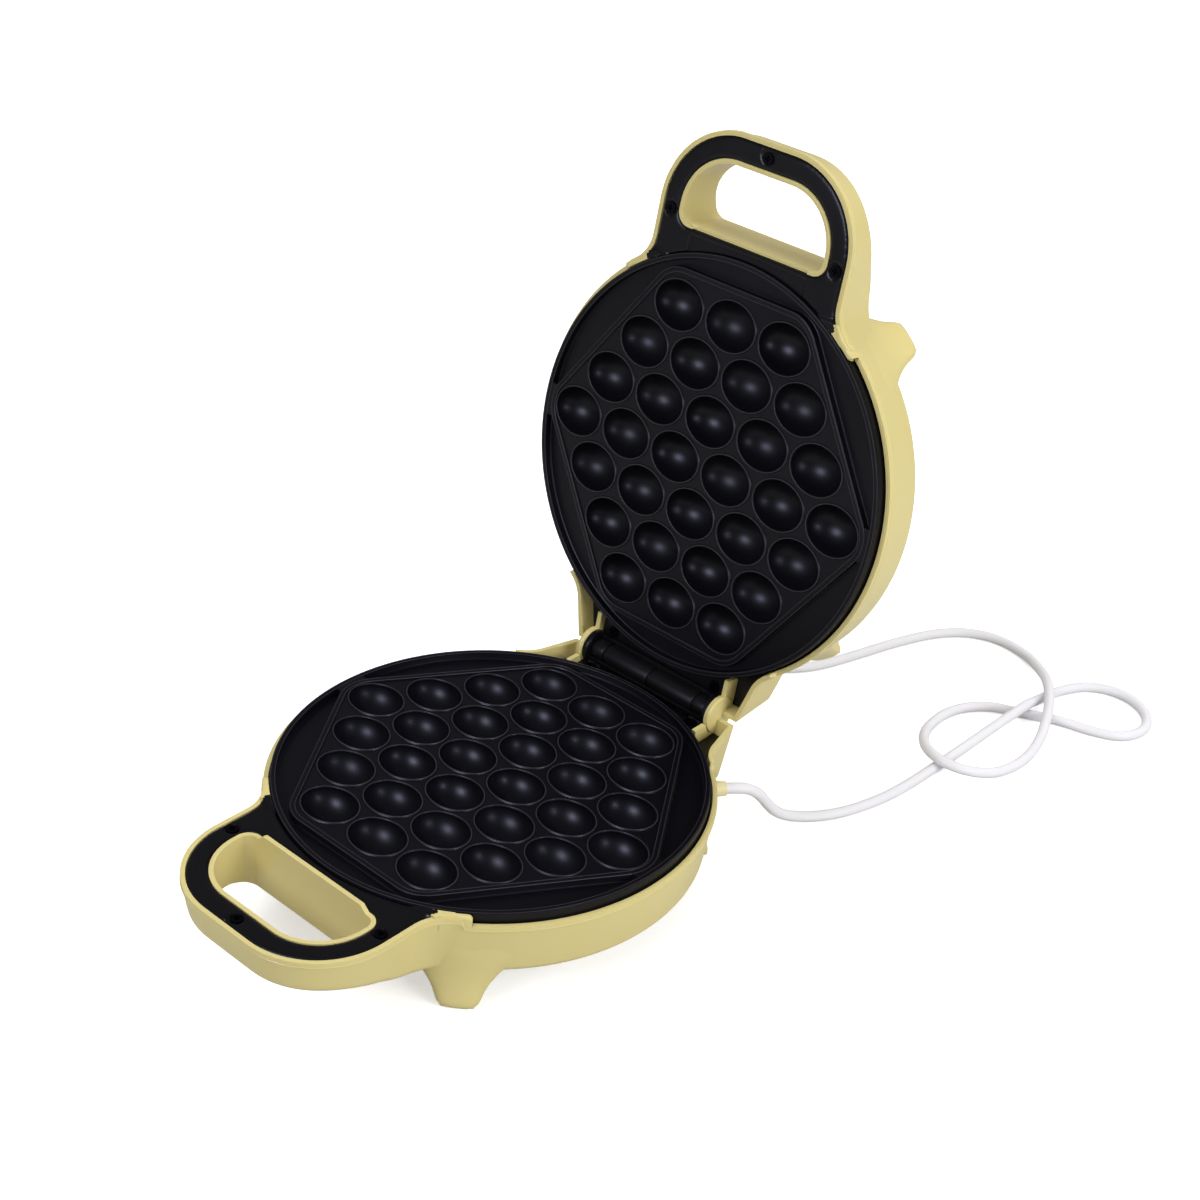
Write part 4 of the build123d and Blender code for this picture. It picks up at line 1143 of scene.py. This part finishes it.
@dataclass
class Foot:
    """A moulded foot's rounded outside: wide at its root, waisted and flared, with soft edges.

    Attributes:
        wall_radius: Radius of the housing's wall at the foot's root.
        root: Depth of the root.
        table: Depth of the table.
        thickness: Thickness across the wall.
        flare: How far the tip stands out from the root.
        half_lengths: Half its length at the root, at the waist and at the tip.
        waist: Depth of the waist under the root.
        draft: Lean of the wall in degrees.
        hidden: How far the loops go on up under the wall's surface.
        even_to: Depth down to which the loops are evenly spaced.
        sunk: How far they start under it.
        blend: Depth where the foot starts to ease out of the wall, and over how much.
        proud: How far it ends up out of the cast foot.
        angle: From the X axis, on each side of both axes.
        bottom_round: Radius of the bottom edge.
        off_table: Gap under the foot.
    """

    wall_radius: float = 104.461
    root: float = 26.0
    table: float = 54.0
    thickness: float = 12.0
    flare: float = 4.0
    half_lengths: tuple = (27.5, 15.6, 9.6)
    waist: float = 13.0
    draft: float = 8.0
    hidden: float = 12.0
    even_to: float = 22.8
    sunk: float = 0.25
    blend: tuple = (-11.0, 15.0)
    proud: float = 0.9
    angle: float = 52.3
    bottom_round: float = 4.6
    off_table: float = 0.02

    def depths(self) -> np.ndarray:
        """Depths of the loops under the root, closer together where the bottom edge turns in.

        Returns:
            One depth for each loop. The last two are the same, for the bottom's own loop.
        """
        turn = np.radians([18, 36, 54, 72, 90])
        bottom = self.table - self.root - self.bottom_round * (1 - np.sin(turn))
        return np.concatenate([np.linspace(-self.hidden, self.even_to, 24), bottom, bottom[-1:]])

    def lengths(self, depth: np.ndarray) -> np.ndarray:
        """Half lengths: the parabola through those of the root, the waist and the tip.

        Args:
            depth: Depths under the root.

        Returns:
            One half length for each depth.
        """
        root, waist, tip = self.half_lengths
        total = self.table - self.root
        bend = ((tip - root) / total - (waist - root) / self.waist) / (total - self.waist)
        slope = (waist - root) / self.waist - bend * self.waist
        return root + slope * depth + bend * depth**2

    def outsides(self, depth: np.ndarray) -> np.ndarray:
        """Outer radii: the drafted wall, then a parabola out to the flared tip.

        The foot eases out of the wall, from a little under its surface to proud of it.

        Args:
            depth: Depths under the root.

        Returns:
            One radius for each depth.
        """
        total = self.table - self.root
        lean = math.tan(math.radians(self.draft))
        wall = self.wall_radius - lean * depth
        flared = wall + (self.flare + lean * total) * (depth / total) ** 2
        start, run = self.blend
        cover = (self.proud + self.sunk) * ease((depth - start) / run) - self.sunk
        return np.where(depth < 0, wall, flared) + cover

    def grid(self, around: int = 56) -> np.ndarray:
        """Loops of a rounded oblong, one for each depth, standing on the table.

        Loop: radial = middle + a C(t), tangential = b S(t), with C and S the cosine and sine raised to
        a half and signed. The bottom edge takes a quarter circle off a and b, and all is bent round
        the wall's circle.

        Args:
            around: Points in a loop.

        Returns:
            Points by loop and turn, for a foot on the X axis.
        """
        depth = self.depths()
        outer = self.outsides(depth)
        inner = self.wall_radius + self.flare - self.thickness - self.proud
        rounding = self.bottom_round * roll_off((self.table - self.root - depth) / self.bottom_round)
        across = (outer - inner) / 2 - rounding
        along = self.lengths(depth) - rounding
        across[-1] = along[-1] = 0.0
        turn = full_turn(around)
        radial = ((outer + inner) / 2)[:, None] + across[:, None] * signed_power(np.cos(turn), 0.5)
        side = along[:, None] * signed_power(np.sin(turn), 0.5)
        x = np.sqrt(np.maximum(radial**2 - side**2, 1.0))
        z = np.broadcast_to((self.off_table - self.root - depth)[:, None], x.shape)
        return np.stack([x, side, z], axis=-1)

    def build(self, half: Half) -> None:
        """Make four feet, one turned copy at each angle.

        Args:
            half: The half that they are for.
        """
        form = Form()
        grid = self.grid()
        for degrees in (self.angle, 180 - self.angle, 180 + self.angle, -self.angle):
            c, s = math.cos(math.radians(degrees)), math.sin(math.radians(degrees))
            swung = grid @ np.array([[c, s, 0.0], [-s, c, 0.0], [0.0, 0.0, 1.0]])
            form.add_grid(swung, wrap_columns=True, facing=(0, 0, -1))
        form.build("feet", half, BUTTER_ABS, "yellow_plastic", sharp=75, recalc=True)


# ---- Hinge ----


@dataclass
class Hinge:
    """The hinge's round parts: sleeves on the barrels, and bosses and caps at the cheeks.

    Attributes:
        barrel: Radius of the sleeves.
        end_round: Radius of their end edges.
        bore: Radius at which they close on the barrel.
        middle: Start and end of the lid's barrels along X.
        end: Start and end of the base's barrels.
        boss: Start and end of the black bosses inside the cheeks.
        boss_radius: Their radius.
        cap: Start and end of the yellow caps that close the cheeks.
        cap_radius: Their radius.
        disc_edges: Radius of the rounded edges of the bosses and of the caps.
    """

    barrel: float = 5.95
    end_round: float = 0.9
    bore: float = 3.0
    middle: tuple = (0.75, 29.3)
    end: tuple = (30.6, 37.9)
    boss: tuple = (38.45, 42.3)
    boss_radius: float = 9.0
    cap: tuple = (42.2, 44.6)
    cap_radius: float = 9.85
    disc_edges: tuple = (1.0, 0.8)

    def sleeve(self, span: tuple) -> np.ndarray:
        """A sleeve turned about the axis: a quarter circle up at each end, and straight between them.

        Args:
            span: Where it starts and ends along X.

        Returns:
            Points by turn and place along the profile.
        """
        turn = np.radians(np.linspace(0, 90, 6))
        rise = self.end_round * np.sin(turn)
        run = self.end_round * (1 - np.cos(turn))
        core = self.barrel - self.end_round
        start = np.stack([span[0] + run, core + rise], axis=-1)
        end = np.stack([span[1] - run, core + rise], axis=-1)[::-1]
        return turned(np.concatenate([[(span[0], self.bore)], start, end, [(span[1], self.bore)]]))

    def disc(self, span: tuple, radius: float, edge: float) -> np.ndarray:
        """A disc turned about the axis: flat faces joined to its side by a quarter circle each.

        Args:
            span: Where it starts and ends along X.
            radius: Its radius.
            edge: Radius of the rounded edges.

        Returns:
            Points by turn and place along the profile.
        """
        turn = np.radians(np.linspace(0, 90, 5))
        near, far = span
        inwards, height = edge * (1 - np.sin(turn)), radius - edge * (1 - np.cos(turn))
        rise = np.stack([near + inwards, height], axis=-1)[::-1]
        fall = np.stack([far - inwards, height], axis=-1)
        return turned(np.concatenate([[(near, 0.0)], rise, fall, [(far, 0.0)]]))

    def build(self) -> None:
        """Make the sleeves of both halves, and the lid's bosses and caps, each on both sides."""
        boss = self.disc(self.boss, self.boss_radius, self.disc_edges[0])
        cap = self.disc(self.cap, self.cap_radius, self.disc_edges[1])
        pieces = (
            ("hinge_sleeves", Half.LID, self.sleeve(self.middle), BLACK_NYLON, "black_plastic"),
            ("hinge_sleeves", Half.BASE, self.sleeve(self.end), BLACK_NYLON, "black_plastic"),
            ("hinge_bosses", Half.LID, boss, BLACK_NYLON, "black_plastic"),
            ("hinge_caps", Half.LID, cap, BUTTER_ABS, "yellow_plastic"),
        )
        for name, half, grid, finish, slot in pieces:
            form = Form.of(grid * (-1, 1, 1), grid, wrap_rows=True, facing=None)
            form.build(name, half, finish, slot, recalc=True)


# ---- Cord ----


@dataclass
class MainsCord:
    """The white mains lead: out of its relief, down to the table and round in three loose crossings.

    Attributes:
        diameter: Cord diameter in millimetres.
        length: Real length in metres.
        route: Points of its centre line in the closed pan's frame, heights over the table.
    """

    diameter: float = 5.5
    length: float = 0.974
    route: tuple = (
        (71.98, 88.89, 37.4), (75.13, 92.78, 37.4), (78.3, 97.7, 36.4), (80.4, 102.3, 33.1),
        (81.4, 106.5, 28.3), (82.0, 110.8, 22.2), (82.8, 116.3, 15.6), (84.3, 123.2, 10.1),
        (87.1, 131.8, 6.1), (91.5, 141.6, 3.6), (97.5, 154.0, 2.75), (103.0, 171.0, 2.75),
        (106.7, 192.0, 2.75), (107.6, 226.0, 2.75), (107.8, 255.0, 2.75), (110.5, 274.0, 6.5),
        (112.3, 287.0, 8.65), (112.3, 300.0, 8.65), (110.5, 317.0, 3.2), (113.0, 333.0, 2.75),
        (122.0, 350.0, 2.75), (140.0, 357.0, 2.75), (157.5, 351.0, 2.75), (167.0, 336.0, 2.75),
        (162.5, 320.0, 2.75), (146.0, 311.5, 2.75), (128.5, 308.0, 2.75), (112.0, 298.5, 2.75),
        (93.7, 291.0, 2.75), (82.0, 272.5, 2.75), (82.5, 250.0, 2.75), (90.0, 234.0, 6.0),
        (101.2, 223.3, 8.65), (115.0, 221.0, 8.65), (127.0, 229.0, 6.0), (134.0, 243.0, 2.75),
        (136.8, 262.0, 2.75), (134.0, 280.0, 5.0), (127.5, 296.0, 8.65), (118.8, 312.4, 8.65),
        (108.5, 326.5, 9.25), (96.0, 339.0, 5.5), (80.0, 350.0, 2.75), (60.0, 352.5, 2.75),
        (43.0, 345.0, 2.75), (30.3, 329.0, 2.75), (20.5, 303.0, 2.75), (12.6, 273.0, 2.75),
        (4.5, 248.0, 2.75), (-10.0, 231.0, 2.75), (-30.0, 222.0, 2.75), (-52.0, 224.0, 2.75),
        (-70.0, 236.0, 2.75), (-84.0, 253.0, 4.2), (-95.0, 273.0, 6.95), (-104.0, 296.0, 6.95),
    )

    def build(self, plug: bpy.types.Object, pins: bpy.types.Object) -> None:
        """Args:
            plug: The plug at its far end; not used.
            pins: The plug's pins; not used.
        """
        points = place(np.array(self.route) - (0.0, 0.0, ROW_SHIFT[2]))
        curve = bpy.data.curves.new("mains_cord", "CURVE")
        curve.dimensions = "3D"
        curve.bevel_depth = self.diameter / 2 * MM
        curve.bevel_resolution = 5
        curve.resolution_u = 10
        curve.use_fill_caps = True
        spline = curve.splines.new("NURBS")
        spline.points.add(len(points) - 1)
        for knot, point in zip(spline.points, points):
            knot.co = (*point, 1.0)
        spline.order_u = 3
        spline.use_endpoint_u = True
        cord = bpy.data.objects.new("mains_cord", curve)
        bpy.context.scene.collection.objects.link(cord)
        dress(cord, WHITE_PVC)
        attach(cord, "base")
        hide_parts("cord")


# ---- Studio ----


@dataclass(frozen=True)
class AreaLight:
    """A square light that faces the pan: a softbox that reflections don't show, or a glint that only they do.

    Attributes:
        name: The light's name.
        towards: From the pan to the light.
        distance: In metres.
        size: Side of the square in metres.
        power: In watts.
        glint: Whether it only shows in reflections, a little bluish.
    """

    name: str
    towards: tuple
    distance: float
    size: float
    power: float
    glint: bool = False

    def build(self) -> None:
        """Hang the light, turned to a point a little over the pan's origin."""
        data = bpy.data.lights.new(self.name, "AREA")
        data.shape = "SQUARE"
        data.size = self.size
        data.energy = self.power
        if self.glint:
            data.color = linear("#DDE0FF")[:3]
        light = bpy.data.objects.new(self.name, data)
        bpy.context.scene.collection.objects.link(light)
        direction = Vector(self.towards).normalized()
        light.location = Vector((0, 0, 0.1)) + direction * self.distance
        light.rotation_euler = direction.to_track_quat("Z", "Y").to_euler()
        light.visible_diffuse = not self.glint
        light.visible_glossy = self.glint


LIGHTS = (
    AreaLight("key_softbox", (-0.04, -0.85, 0.52), 1.5, 0.60, 7.0),
    AreaLight("key_glint", (-0.04, -0.85, 0.52), 1.5, 0.34, 17.0, glint=True),
    AreaLight("side_softbox", (0.95, 0.1, 0.4), 1.5, 0.90, 15.0),
    AreaLight("side_glint", (0.90, -0.20, 0.375), 1.5, 0.30, 5.0, glint=True),
    AreaLight("back_softbox", (-0.35, 1.0, 0.45), 1.6, 1.2, 7.0),
    AreaLight("top_softbox", (-0.2, 0.1, 1.0), 1.6, 1.2, 12.0),
)


@dataclass
class Studio:
    """White sweep, white room, lights and the camera.

    Attributes:
        lens: Focal length in millimetres.
        sensor: Width of the sensor in millimetres.
        position: The camera in the closed pan's frame.
        turn: Its rotation about X, Y and Z in degrees.
        floor_reach: Half the floor's width in metres.
        floor_glow: Strength of the white that the floor adds for the camera alone.
        room: Brightness of the room for the camera.
        fill: Brightness of the room for what it lights.
        gloss: Brightness of the room in reflections.
    """

    lens: float = 65.22
    sensor: float = 36.0
    position: tuple = (579.32, -596.77, 613.12)
    turn: tuple = (58.1584, -3.1013, 42.9081)
    floor_reach: float = 6.0
    floor_glow: float = 0.5
    room: float = 1.0
    fill: float = 0.34
    gloss: float = 0.18

    def camera(self) -> None:
        """Set the camera where the object is seen from."""
        data = bpy.data.cameras.new("camera")
        data.lens = self.lens
        data.sensor_width = self.sensor
        data.sensor_fit = "HORIZONTAL"
        data.clip_end = 50
        camera = bpy.data.objects.new("camera", data)
        bpy.context.scene.collection.objects.link(camera)
        camera.location = place(np.array(self.position))
        camera.rotation_euler = Euler([math.radians(angle) for angle in self.turn])
        bpy.context.scene.camera = camera

    def floor(self) -> None:
        """Lay the white floor: it takes the pan's soft shadow, and is duller for what it lights."""
        reach = self.floor_reach
        corners = [(-reach, -reach, 0), (reach, -reach, 0), (reach, reach, 0), (-reach, reach, 0)]
        mesh = bpy.data.meshes.new("floor")
        mesh.from_pydata(corners, [], [(0, 1, 2, 3)])
        floor = bpy.data.objects.new("floor", mesh)
        bpy.context.scene.collection.objects.link(floor)
        material = bpy.data.materials.new("white_sweep")
        material.use_nodes = True
        tree = material.node_tree
        tree.nodes.clear()
        sheet = add_node(tree, "ShaderNodeBsdfDiffuse", {"Color": linear("#F6F6F6")})
        glow = add_node(tree, "ShaderNodeEmission", {"Color": linear("#FFFFFF"), "Strength": self.floor_glow})
        dim = add_node(tree, "ShaderNodeBsdfDiffuse", {"Color": linear("#BEBEBE")})
        seen = add_node(tree, "ShaderNodeLightPath", {})
        both = add_node(tree, "ShaderNodeAddShader", {0: sheet.outputs[0], 1: glow.outputs[0]})
        pick = add_node(
            tree,
            "ShaderNodeMixShader",
            {0: seen.outputs["Is Camera Ray"], 1: dim.outputs[0], 2: both.outputs[0]},
        )
        add_node(tree, "ShaderNodeOutputMaterial", {"Surface": pick.outputs[0]})
        mesh.materials.append(material)

    def world(self) -> None:
        """A white room for the camera, dimmer for what it lights."""
        world = bpy.data.worlds.new("white_room")
        bpy.context.scene.world = world
        world.use_nodes = True
        tree = world.node_tree
        tree.nodes.clear()
        seen = add_node(tree, "ShaderNodeLightPath", {})
        strengths = (("#FFFFFF", self.room), ("#FBFAFF", self.fill), ("#E6E6FF", self.gloss))
        room, fill, gloss = (
            add_node(tree, "ShaderNodeBackground", {"Color": linear(code), "Strength": strength}).outputs[0]
            for code, strength in strengths
        )
        camera_ray, glossy_ray = seen.outputs["Is Camera Ray"], seen.outputs["Is Glossy Ray"]
        lit = add_node(tree, "ShaderNodeMixShader", {0: glossy_ray, 1: fill, 2: gloss})
        pick = add_node(tree, "ShaderNodeMixShader", {0: camera_ray, 1: lit.outputs[0], 2: room})
        add_node(tree, "ShaderNodeOutputWorld", {"Surface": pick.outputs[0]})

    def build(self) -> None:
        """Set up camera, lights, floor and world."""
        self.camera()
        for light in LIGHTS:
            light.build()
        self.floor()
        self.world()
        bpy.context.scene.view_settings.view_transform = "Standard"


# ---- Everything together ----


def main() -> None:
    """Dress the whole pan and set the studio up."""
    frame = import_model()
    for name, item in frame["nodes"].items():
        piece = name.split("_", 1)[1] if name.startswith(("lower_", "upper_")) else name
        dress(item, NODE_FINISHES[piece])
    LOG.info("dressed %d nodes", len(frame["nodes"]))
    trim = HousingTrim()
    for half in Half:
        for assembly in (CellPlate(), trim, HandleInsert(trim), Foot()):
            assembly.build(half)
    Hinge().build()
    MainsCord().build(frame["nodes"]["plug"], frame["nodes"]["plug_pins"])
    LOG.info("laid the mains cord")
    Studio().build()
    LOG.info("set the studio up")


if __name__ == "__main__":
    main()
